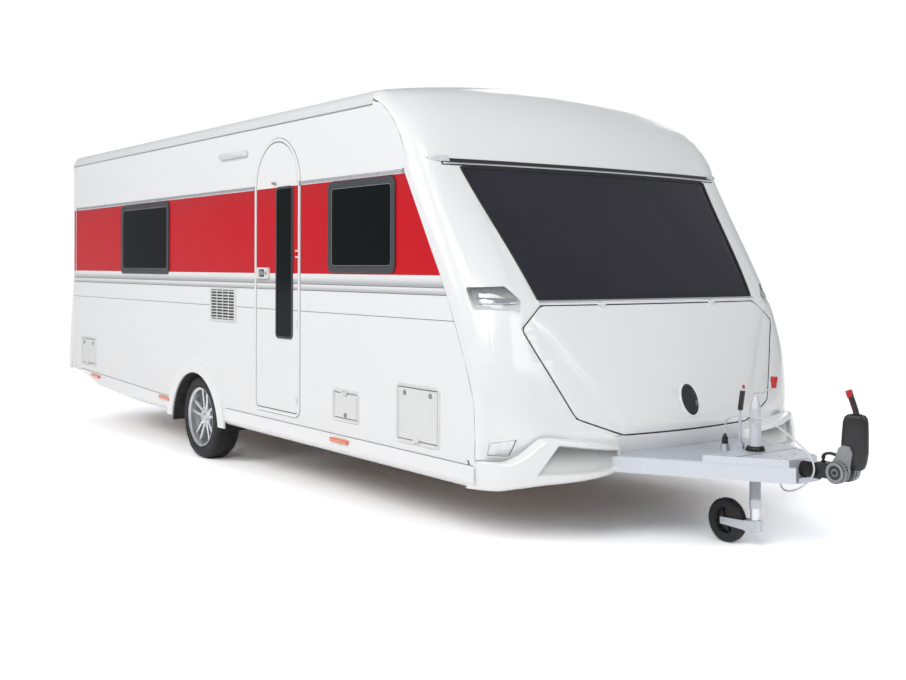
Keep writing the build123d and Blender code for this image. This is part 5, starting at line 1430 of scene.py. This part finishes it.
class CARAVAN_OT_walls(CaravanPiece, bpy.types.Operator):
    """Vent grilles, hatch locks, door lock and catch, rail clips and wall seams"""

    bl_idname = "caravan.walls"
    bl_label = "Wall fittings"

    def build(self, tone, sizes):
        self.vents()
        self.locks()
        self.door()
        self.rails()

    def vents(self):
        """Grilles: a grid of louvres in a panel with round corners, over black sheets of painted shade.
        """
        panels, dark, bars = [], [], []
        for side, x0, x1, z0, z1 in ((-1, .364, .805, 1.071, 1.322), (1, 1.0, 1.44, .7, .9),
                                     (1, 1.0, 1.44, 1.15, 1.35)):
            origin = np.array([DATUM_X + (x0 + x1) / 2, side * HALF_WIDTH, (z0 + z1) / 2])
            across = (-side, 0, 0)
            width, height = x1 - x0, z1 - z0
            hole_w, hole_h = width - .05, height - .034
            outer, inner = round_box(width, height, .022), round_box(hole_w, hole_h, .008)
            panels.append(ring(outer, inner, origin, across, .01, .003))
            # A black sheet in the hole: painted shade of the cavity behind the louvres.
            dark.append(slab(inner, origin, across, .0015, .0003))
            rows = int(round(hole_h / .022))
            for i in range(rows):
                spot = origin + (0, side * .005, (i + .5) * hole_h / rows - hole_h / 2)
                half = np.array([hole_w / 2, 0, 0])
                bars.append(bar(spot - half, spot + half, .0085, .0065, (0, side, -.6)))
            for i in range(5):
                spot = origin + ((i - 2) * hole_w / 4, side * .006, 0)
                half = np.array([0, 0, hole_h / 2])
                bars.append(bar(spot - half, spot + half, .006, .006, (0, side, 0)))
        piece("vent_panels", panels, "white_plastic", replaces=("side_vents",))
        piece("vent_louvres", bars, "white_plastic")
        piece("vent_darkness", dark, "black_plastic")

    def locks(self):
        """Round locks with a cover on the hatches, riding with each."""
        for node, x, z in (("hatch_rear", -2.439, .757), ("hatch_rear", -2.206, .757),
                           ("hatch_middle", 2.315, .572), ("hatch_front", 2.96, .77),
                           ("hatch_front", 3.21, .77)):
            spot = (DATUM_X + x, -HALF_WIDTH - .003, z)
            body = turned([(0, .001), (0, .015), (.003, .015), (.005, .013), (.005, .007),
                           (.008, .006), (.008, .001)], spot, (0, -1, 0), 32)
            piece(f"{node}_lock_{round(abs(x) * 1000)}", [body], "grey_plastic", node)

    def door(self):
        """The lock's recess and handle, a catch and the window's bead."""
        spot = np.array([DATUM_X + 1.2295, -HALF_WIDTH - .0035, 1.43])
        outer, inner = round_box(.19, .078, .016), round_box(.086, .05, .01)
        box = ring(outer, inner, spot, (1, 0, 0), .02, .005)
        piece("lock_housing", [box], "white_plastic", "entrance_door", replaces=("door_handle",))
        well = slab(inner, spot, (1, 0, 0), .004, .0005)
        piece("lock_well", [well], "black_plastic", "entrance_door")
        paddle = bar(spot + (-.04, -.012, 0), spot + (.03, -.012, 0), .03, .01, (0, -1, 0))
        barrel = turned([(0, .001), (0, .01), (.003, .01), (.004, .008), (.004, .001)],
                        spot + (.07, -.0195, 0), (0, -1, 0), 24)
        piece("lock_paddle", [paddle, barrel], "grey_plastic", "entrance_door")
        x0, x1, z0, z1 = 1.424, 1.638, 1.007, 1.997
        pane = (DATUM_X + (x0 + x1) / 2, -HALF_WIDTH - .0035, (z0 + z1) / 2)
        bead = ring(round_box(x1 - x0 + .022, z1 - z0 + .022, .034),
                    round_box(x1 - x0 - .01, z1 - z0 - .01, .022), pane, (1, 0, 0), .006, .002)
        piece("door_window_trim", [bead], "frame_plastic", "entrance_door")
        catch = bar(*body_points((1.402, -HALF_WIDTH - .004, 2.03), (1.402, -HALF_WIDTH - .03, 2.034)),
                    .02, .016)
        piece("door_catch", [catch], "grey_plastic", "entrance_door")

    def rails(self):
        """End clips of the rails and the seam near each rear corner."""
        clips = [slab(round_box(.014, .034, .004), (DATUM_X + x, -HALF_WIDTH, RAIL_Z), (1, 0, 0),
                      .009, .002) for x in (2.936, -2.656, 1.1, 1.74)]
        piece("rail_clips", clips, "grey_plastic", mirrored=True)
        piece("corner_seams", [wall_bar([(-2.7, .5), (-2.7, 2.42)], .012, .003)],
              "white_plastic", mirrored=True)


# ------------------------------------------------------------------ trim on the front
class CARAVAN_OT_trim(CaravanPiece, bpy.types.Operator):
    """Gasket and bright strips round the front window and a dark band over it"""

    bl_idname = "caravan.trim"
    bl_label = "Front trim"

    def build(self, tone, sizes):
        foot, head = HALF_WIDTH - .381, HALF_WIDTH - .244
        corners = [(-foot, 1.302), (-head, 2.038), (head, 2.038), (foot, 1.302), (-foot, 1.302)]
        piece("window_gasket", [self.strip(corners, 240, .018, .006)], "soft_rubber")
        for name, finish, inset, z, count, width, proud in (
                ("lower_bright_strip", "chromed", .372, 1.29, 120, .016, .01),
                ("upper_dark_band", "dark_grip", .13, 2.066, 140, .044, .007),
                ("upper_bright_line", "chromed", .135, 2.056, 140, .012, .011)):
            end = HALF_WIDTH - inset
            piece(name, [self.strip([(-end, z), (end, z)], count, width, proud)], finish)

    def strip(self, corners, count, width, proud):
        """A strip carried along points of the rounded front."""
        places, normals = FRONT_SHAPE.placed(line_points(corners, count))
        return carried(places, superellipse(width / 2, proud, .6), normals)


# ------------------------------------------------------------------ shallow forms
def soft_outline(corners, radius, steps=7):
    """A closed outline whose corners are rounded by parabolas that reach radius back
    along both sides."""
    corners = np.asarray(corners, float)
    back = unit(np.roll(corners, 1, 0) - corners) * radius
    ahead = unit(np.roll(corners, -1, 0) - corners) * radius
    t = np.linspace(0, 1, steps)[None, :, None]
    points = (corners[:, None] + back[:, None] * (1 - t)**2 + ahead[:, None] * t**2)
    return points.reshape(-1, 2)


def dished(edge, surface, steps, thick=.002):
    """A plate on a surface, inside an outline: rings of the outline shrunk towards its
    middle, each at its own depth. steps lists (share of the outline, depth)."""
    edge = np.asarray(edge, float)
    heart = edge.mean(0)
    rings = [*[(share, depth + thick) for share, depth in (steps[-1], steps[0])], *steps]
    rows = []
    for share, depth in rings:
        places, normals = surface(heart + share * (edge - heart))
        rows.append(places - depth * normals)
    return shell(np.stack(rows))


def on_lid(points):
    """Places and outward directions on the middle of the lid, inside its creases."""
    places, normals = FRONT_SHAPE.placed(points)
    return places + (CREASE_RISE, 0, 0), normals


GRIP = ((.045, 1.252), (.24, 1.24), (.265, 1.3), (.205, 1.372), (.045, 1.368))
LAMP = ((.045, .495), (.15, .49), (.165, .592), (.045, .57))
LID_SIDE = ((-.5, .58), (-.78, .68), (-1.02, 1.15), (-.87, 1.271))
DISH_STEPS = ((1.0, .004), (1.02, -.003), (.93, -.004), (.86, .001), (.8, .0075), (.5, .0095),
              (.03, .0098))
WELL_STEPS = ((1.03, .001), (1.02, -.002), (.97, -.002), (.93, .004), (.86, .018), (.5, .0195),
              (.03, .0195))
# Plan and edges of the right bumper. Columns: inset from the side, then x, or height.
BUMPER_PLAN = ((0, 3.56), (.015, 3.64), (.06, 3.755), (.15, 3.825), (.25, 3.88), (.35, 3.935),
               (.45, 3.97), (.53, 3.98), (.61, 3.976), (.7, 3.952), (.745, 3.925))
BUMPER_TOP = ((0, .47), (.1, .474), (.16, .51), (.25, .592), (.3, .597), (.52, .566), (.745, .526))
BUMPER_FOOT = ((0, .321), (.05, .326), (.12, .34), (.25, .357), (.45, .373), (.745, .398))
BUMPER_RECESS = ((.205, .405), (.31, .566), (.7, .512), (.715, .44), (.64, .41))
BUMPER_SINK = .026


def bumper_x(inset):
    """The bumper's outer face in plan."""
    return DATUM_X + np.interp(inset, *np.array(BUMPER_PLAN).T)


class CARAVAN_OT_bumpers(CaravanPiece, bpy.types.Operator):
    """Front bumpers with a raised rim round a grey recess, grips, lamps and lid dish"""

    bl_idname = "caravan.bumpers"
    bl_label = "Bumpers, grips and dish"

    def build(self, tone, sizes):
        self.bumper()
        self.grips()
        self.lamps()
        self.dish()

    def bumper(self):
        """The bumper: a height field over inset and height. Its edges fall away as
        quarter circles and the recess sinks where a point is inside all its sides."""
        inset = np.concatenate([[0, .004, .012], np.linspace(.02, .735, 100), [.742, .745]])
        share = np.concatenate([[0, .02, .05, .09], np.linspace(.12, .88, 40), [.91, .95, .98, 1]])
        top = np.interp(inset, *np.array(BUMPER_TOP).T)
        foot = np.interp(inset, *np.array(BUMPER_FOOT).T)
        kernel = np.ones(5) / 5
        top[2:-2], foot[2:-2] = (np.convolve(a, kernel, "valid") for a in (top, foot))
        z = foot + share[:, None] * (top - foot)
        u = np.broadcast_to(inset, z.shape)
        x = bumper_x(u)
        x[:, 2:-2] = np.apply_along_axis(np.convolve, 1, x, kernel, "valid")
        edge = np.minimum(z - foot, top - z)
        x = x - self.fall(edge, .02) - self.fall(.745 - u, .03)
        x = x - BUMPER_SINK * self.sunk(u, z)
        points = np.stack([x, u - HALF_WIDTH, z], -1)
        back = points.copy()
        back[:, :, 0] = np.minimum(x - .045, DATUM_X + 3.86)
        back[:, 0, 0] = x[:, 0] - .012
        body = shell(np.concatenate([points, back[::-1]]), wrap_rows=True, wrap_columns=False)
        made = piece("bumper_shells", [body], "bumper_gelcoat", replaces=("front_bumpers",),
                     mirrored=True, sharp=50)
        # Each point's share of the recess, from which the finish paints the grey and its painted shade.
        place = np.empty(len(made.data.vertices) * 3)
        made.data.vertices.foreach_get("co", place)
        place = place.reshape(-1, 3)
        sink = made.data.attributes.new("sink", "FLOAT", "POINT")
        front = place[:, 0] > DATUM_X + 3.62
        sink.data.foreach_set("value", front * self.sunk(HALF_WIDTH - np.abs(place[:, 1]), place[:, 2]))

    def sunk(self, inset, z):
        """Share of the recess's depth: a smooth step of the distance inside its sides."""
        sides = np.array(BUMPER_RECESS)
        run = np.roll(sides, -1, 0) - sides
        inward = unit(np.stack([run[:, 1], -run[:, 0]], -1))
        depth = np.min([(inset - a[0]) * n[0] + (z - a[1]) * n[1] for a, n in zip(sides, inward)], axis=0)
        share = np.clip(depth / .015, 0, 1)
        return share**2 * (3 - 2 * share)

    def fall(self, distance, radius):
        """How far a rounded edge drops at a distance from it."""
        short = np.clip(radius - distance, 0, radius)
        return radius - np.sqrt(radius**2 - short**2)

    def grips(self):
        """A well with painted shade and a bright bar across it, at both cheeks."""
        edge = soft_outline([(i - HALF_WIDTH, z) for i, z in GRIP], .014)
        well = dished(edge, FRONT_SHAPE.placed, WELL_STEPS)
        piece("grip_wells", [well], "grip_shade", mirrored=True)
        line = line_points([(.062 - HALF_WIDTH, 1.302), (.24 - HALF_WIDTH, 1.3)], 24)
        places, normals = FRONT_SHAPE.placed(line)
        sag = .009 - .006 * np.abs(np.linspace(-1, 1, 24))**4
        grip = carried(places - sag[:, None] * normals, superellipse(.017, .0045, .6), normals)
        piece("grip_bars", [grip], "chromed", replaces=("corner_grips",), mirrored=True)

    def lamps(self):
        """Rims round the lamps' lenses, and black rings inside them: seals, and painted shade of the
        recessed edge.
        """
        edge = soft_outline([(i - HALF_WIDTH, z) for i, z in LAMP], .016)
        places, normals = FRONT_SHAPE.placed(edge)
        piece("lamp_rims", [carried(places, superellipse(.0045, .004, .8), normals, closed=True)],
              "gelcoat", mirrored=True)
        # Black rings just inside the rims: seal, and painted shade of the lens's recessed edge.
        heart = edge.mean(0)
        places, normals = FRONT_SHAPE.placed(heart + .94 * (edge - heart))
        piece("lamp_seals", [carried(places - .002 * normals, circle(.0025, 10), normals, closed=True)],
              "soft_rubber", mirrored=True)

    def dish(self):
        """The oval dish behind the lid's handle, riding with the lid."""
        turn = around(64)
        edge = np.stack([.064 * np.cos(turn), .74 + .083 * np.sin(turn)], -1)
        plate = dished(edge, on_lid, DISH_STEPS)
        piece("lid_dish", [plate], "dark_grip", "locker_lid")
        lip = (edge - (0, .74)) * 1.08 + (0, .74)
        places, normals = on_lid(lip)
        piece("lid_dish_lip", [carried(places, superellipse(.007, .005, .8), normals, closed=True)],
              "gelcoat", "locker_lid")
        # A black loop in the lid's gap: rubber seal, and painted shadow under the lid's edge.
        line = soft_outline([*LID_SIDE, *[(-y, z) for y, z in LID_SIDE[::-1]]], .035, 9)
        line = line_points([*line, line[0]], 240)[:-1]
        places, normals = FRONT_SHAPE.placed(line)
        seal = carried(places - .0012 * normals, superellipse(.0034, .0024, .8), normals, closed=True)
        piece("lid_seal", [seal], "soft_rubber")


# ------------------------------------------------------------------ seams and rails
DOOR = (1.1, 1.74, .49, 2.335)  # rear x, front x, foot, head of the door's frame
# Side markers: x from DATUM_X, height, fall over half their length.
SIDE_MARKERS = ((-2.106, .464, .005), (-.483, .415, .004), (2.257, .41, 0))
# Outlines of the hatches' frames. Columns: rear x, front x, foot, head.
HATCH_PLACES = ((-2.511, -2.134, .552, .81), (2.166, 2.464, .535, .722), (2.878, 3.291, .492, .817))


def door_path(inset, corner):
    """The door's arched outline, inset from its frame's outer edge."""
    x0, x1, z0, z1 = DOOR
    half = (x1 - x0) / 2
    turn = np.linspace(0, math.pi, 48)
    arch = np.stack([(x0 + x1) / 2 + (half - inset) * np.cos(turn),
                     z1 - half + (half - inset) * np.sin(turn)], -1)
    bend = np.linspace(0, math.pi / 2, 10)
    low, left, right = z0 + inset + corner, x0 + inset + corner, x1 - inset - corner
    first = np.stack([left - corner * np.cos(bend), low - corner * np.sin(bend)], -1)
    second = np.stack([right + corner * np.sin(bend), low - corner * np.cos(bend)], -1)
    sides = [(x0 + inset, z) for z in np.linspace(z1 - half, low, 20)[1:-1]]
    rise = [(x1 - inset, z) for z in np.linspace(low, z1 - half, 20)[1:-1]]
    flat = np.concatenate([arch, sides, first, second, rise])
    return np.stack([DATUM_X + flat[:, 0], np.full(len(flat), -HALF_WIDTH), flat[:, 1]], -1)


REAR_CORNER = .07  # rounding of the rear end under the roof


def eased(points):
    """The square corner between rear end and roof drawn onto a quarter circle: shares
    a, b of the way into the corner become a sqrt(1 - b^2/2) and b sqrt(1 - a^2/2)."""
    inset = np.clip(HALF_WIDTH - np.abs(points[:, 1]), 0, HALF_WIDTH)
    top = roof_rise(inset)
    a = np.clip((REAR_CORNER - (points[:, 0] - REAR_FACE_X)) / REAR_CORNER, 0, 1)
    b = np.clip((REAR_CORNER - (top - points[:, 2])) / REAR_CORNER, 0, 1)
    out = points.copy()
    out[:, 0] += REAR_CORNER * a * (1 - np.sqrt(1 - b**2 / 2))
    out[:, 2] -= REAR_CORNER * b * (1 - np.sqrt(1 - a**2 / 2))
    return out


class CARAVAN_OT_seams(CaravanPiece, bpy.types.Operator):
    """Door seal and frame bead with their painted shadows, hatch trims, arch liners, painted shadow lines
    over the skirts, rails and roof
    """

    bl_idname = "caravan.seams"
    bl_label = "Seams and rails"

    def build(self, tone, sizes):
        for name, finish, inset, corner, proud, section in (
                # Black rubber in the door's gap, made wide and black to stand also for the gap's painted
                # shadow.
                ("door_seal", "soft_rubber", .0242, .037, -.002, (.0042, .004, .8)),
                ("door_bead", "gelcoat", .01, .05, .003, (.0105, .006, .7)),
                # A flush grey line round the door's frame: painted shadow of the frame's edge.
                ("door_outline", "grey_plastic", -.0022, .062, 0, (.0032, .0015, .8))):
            piece(name, [carried(door_path(inset, corner) - (0, proud, 0),
                                 superellipse(*section), (0, -1, 0), closed=True)], finish)
        trims = []
        for x0, x1, z0, z1 in HATCH_PLACES:
            origin = (DATUM_X + (x0 + x1) / 2, -HALF_WIDTH, (z0 + z1) / 2)
            w, h = x1 - x0, z1 - z0
            trims.append(ring(round_box(w + .012, h + .012, .03),
                              round_box(w - .014, h - .014, .018), origin, (1, 0, 0), .0078, .003))
        piece("hatch_trims", trims, "white_plastic")
        turn = np.linspace(.05, math.pi - .05, 72)
        centre = np.array([WHEEL_X + .03, -HALF_WIDTH - .002, .235])
        spin = np.stack([np.cos(turn), 0 * turn, np.sin(turn)], -1)
        liner = carried(centre + .428 * spin + (0, .13, 0), superellipse(.132, .0014, .3), spin)
        piece("arch_liners", [liner], "liner_felt", mirrored=True)
        for name, finish, lines, width, height, proud, node in (
                # Grey lines along the skirts' tops: painted shadow of the gap above them.
                ("skirt_seams", "grey_plastic", (((-2.523, .505), (-.43, .4345)),
                                                 ((.63, .4445), (3.59, .4445))),
                 .005, .003, .0004, None),
                ("marker_lenses", "orange_lens",
                 [((x - .1, z + lean), (x + .1, z - lean)) for x, z, lean in SIDE_MARKERS],
                 .026, .012, .016, "side_markers"),
                ("band_rails", "anodised", (((-2.65, RAIL_Z), (1.094, RAIL_Z)),
                                            ((1.746, RAIL_Z), (2.93, RAIL_Z))),
                 .027, .01, 0, "awning_rails"),
                ("eave_rails", "white_plastic", (((-2.75, 2.44), (2.61, 2.44)),),
                 .016, .016, 0, None),
                ("eave_grooves", "grey_plastic", (((-2.75, 2.4285), (2.61, 2.4285)),),
                 .007, .003, .0005, None)):
            bars = [wall_bar(ends, width, height, proud) for ends in lines]
            piece(name, bars, finish, replaces=(node,) if node else (), mirrored=True)
        self.roof()
        self.rear()
        self.tail()

    def roof(self):
        """Joint strips across the roof, following its crown, and eased roof lights."""
        strips = []
        inset = np.linspace(.07, 2 * HALF_WIDTH - .07, 90)
        z = roof_rise(np.minimum(inset, 2 * HALF_WIDTH - inset))
        for x in (-2.7, -1.1, 1.3, 2.6):
            path = np.stack([np.full(90, DATUM_X + x), inset - HALF_WIDTH, z], -1)
            strips.append(carried(path, superellipse(.014, .0025, .6), (0, 0, 1)))
        piece("roof_strips", strips, "roof_sheet")
        copied("roof_domes", "roof_lights", "white_plastic", rounding=.01)
        copied("awning_light", "awning_lamp", "white_plastic", rounding=.006)
        lens_bar = wall_bar([(.585, 2.258), (.955, 2.258)], .012, .008, .028)
        piece("awning_light_lens", [lens_bar], "clear_lens")

    def rear(self):
        """A cap over the rear end, and copies of its walls and roof with eased corners."""
        back = DATUM_X - BODY_BACK
        columns = np.linspace(.004, 2 * HALF_WIDTH - .004, 120)
        crown = roof_rise(np.minimum(columns, 2 * HALF_WIDTH - columns)) - .004
        bends = np.linspace(0, 1, 12)[:, None]
        height = 2.4 + bends * (crown - 2.4)
        x = np.full_like(height, back - REAR_WALL - .003)
        face = np.stack([x, np.broadcast_to(columns - HALF_WIDTH, x.shape), height], -1)
        cap = shell(np.concatenate([face, face[::-1] + (.022, 0, 0)]), wrap_rows=True, wrap_columns=False)
        piece("rear_cap", [(eased(cap[0]), cap[1])], "roof_sheet")
        depths = (.003, .008, .015, .024, .035, .047, .059, REAR_CORNER)
        cuts = [((back - REAR_WALL + d, 0, 0), (1, 0, 0)) for d in depths]
        cuts += [((0, 0, EAVE_Z - d), (0, 0, 1)) for d in depths]
        for name, node, finish in (
                ("rear_shell", "rear_moulding", "gelcoat"), ("roof_panel", "roof", "roof_sheet"),
                ("right_wall", "side_wall_right", "painted_wall"),
                ("left_wall", "side_wall_left", "painted_wall")):
            copied(name, node, finish, cuts=cuts, bend=eased)

    def tail(self):
        """Tail lamps with round lights, blank plate, grab handles, brake light, seams."""
        back = DATUM_X - BODY_BACK
        copied("tail_lamps", "rear_lamps", "red_lens", rounding=.004)
        slope = unit((.04, 0, .34))  # of the panel that carries lamps and plate
        discs = []
        for z in (.64, .73, .82):
            x = back - .16 - .014 + (z - .56) / .34 * .04
            discs.append(turned([(-.004, .001), (-.004, .038), (.003, .038), (.006, .032), (.006, .001)],
                                (x, -1.055, z), (-slope[2], 0, slope[0]), 40))
        piece("tail_lights", discs[:2], "red_lens", mirrored=True)
        piece("tail_indicators", discs[2:], "orange_lens", mirrored=True)
        x = back - .16 + (.66 - .56) / .34 * .04
        plate = slab(round_box(.52, .112, .01), (x, 0, .66), (0, -1, 0), .004, up=slope)
        piece("blank_plate", [plate], "white_plastic")
        path = curve_through([(back - proud, -1.12, z) for proud, z in (
            (.034, 1.1), (.08, 1.12), (.085, 1.22), (.08, 1.32), (.034, 1.34))], 30)
        handle = carried(path, superellipse(.012, .009, .8), (0, 1, 0))
        piece("rear_grab_handles", [handle], "white_plastic", mirrored=True)
        brake = bar((back - .036, -.2, 2.2), (back - .036, .2, 2.2), .02, .012, (-1, 0, 0))
        piece("high_brake_light", [brake], "red_lens")
        seam = bar((back - .0345, -1.2, 1.36), (back - .0345, -1.2, 2.42), .006, .002, (-1, 0, 0))
        piece("rear_seams", [seam], "grey_plastic", mirrored=True)


class CARAVAN_OT_finishes(CaravanPiece, bpy.types.Operator):
    """Finishes of the frame's own nodes"""

    bl_idname = "caravan.finishes"
    bl_label = "Frame finishes"

    def build(self, tone, sizes):
        for finish, names in NODE_FINISH.items():
            for name in names:
                dress(NODES[name].data, finish)


CLASSES = (
    CaravanColours,
    CaravanSizes,
    CARAVAN_OT_stage,
    CARAVAN_OT_lead,
    CARAVAN_OT_tyres,
    CARAVAN_OT_wheels,
    CARAVAN_OT_front,
    CARAVAN_OT_trim,
    CARAVAN_OT_windows,
    CARAVAN_OT_walls,
    CARAVAN_OT_bumpers,
    CARAVAN_OT_seams,
    CARAVAN_OT_hitch,
    CARAVAN_OT_finishes,
)
OPERATORS = [c for c in CLASSES if issubclass(c, bpy.types.Operator)]


class CARAVAN_PT_panel(bpy.types.Panel):
    """Lists the caravan's settings and operators"""

    bl_idname = "CARAVAN_PT_panel"
    bl_label = "Touring caravan"
    bl_space_type = "VIEW_3D"
    bl_region_type = "UI"
    bl_category = "Caravan"

    def draw(self, context):
        for group in (context.scene.caravan_colours, context.scene.caravan_sizes):
            for name in group.bl_rna.properties.keys():
                if name not in ("rna_type", "name"):
                    self.layout.prop(group, name)
        for operator in OPERATORS:
            self.layout.operator(operator.bl_idname)


def register():
    for group in (*CLASSES, CARAVAN_PT_panel):
        bpy.utils.register_class(group)
    bpy.types.Scene.caravan_colours = bpy.props.PointerProperty(type=CaravanColours)
    bpy.types.Scene.caravan_sizes = bpy.props.PointerProperty(type=CaravanSizes)


def unregister():
    del bpy.types.Scene.caravan_colours
    del bpy.types.Scene.caravan_sizes
    for group in reversed((*CLASSES, CARAVAN_PT_panel)):
        bpy.utils.unregister_class(group)


def main():
    """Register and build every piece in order."""
    register()
    for operator in OPERATORS:
        group, name = operator.bl_idname.split(".")
        getattr(getattr(bpy.ops, group), name)()


if __name__ == "__main__":
    main()
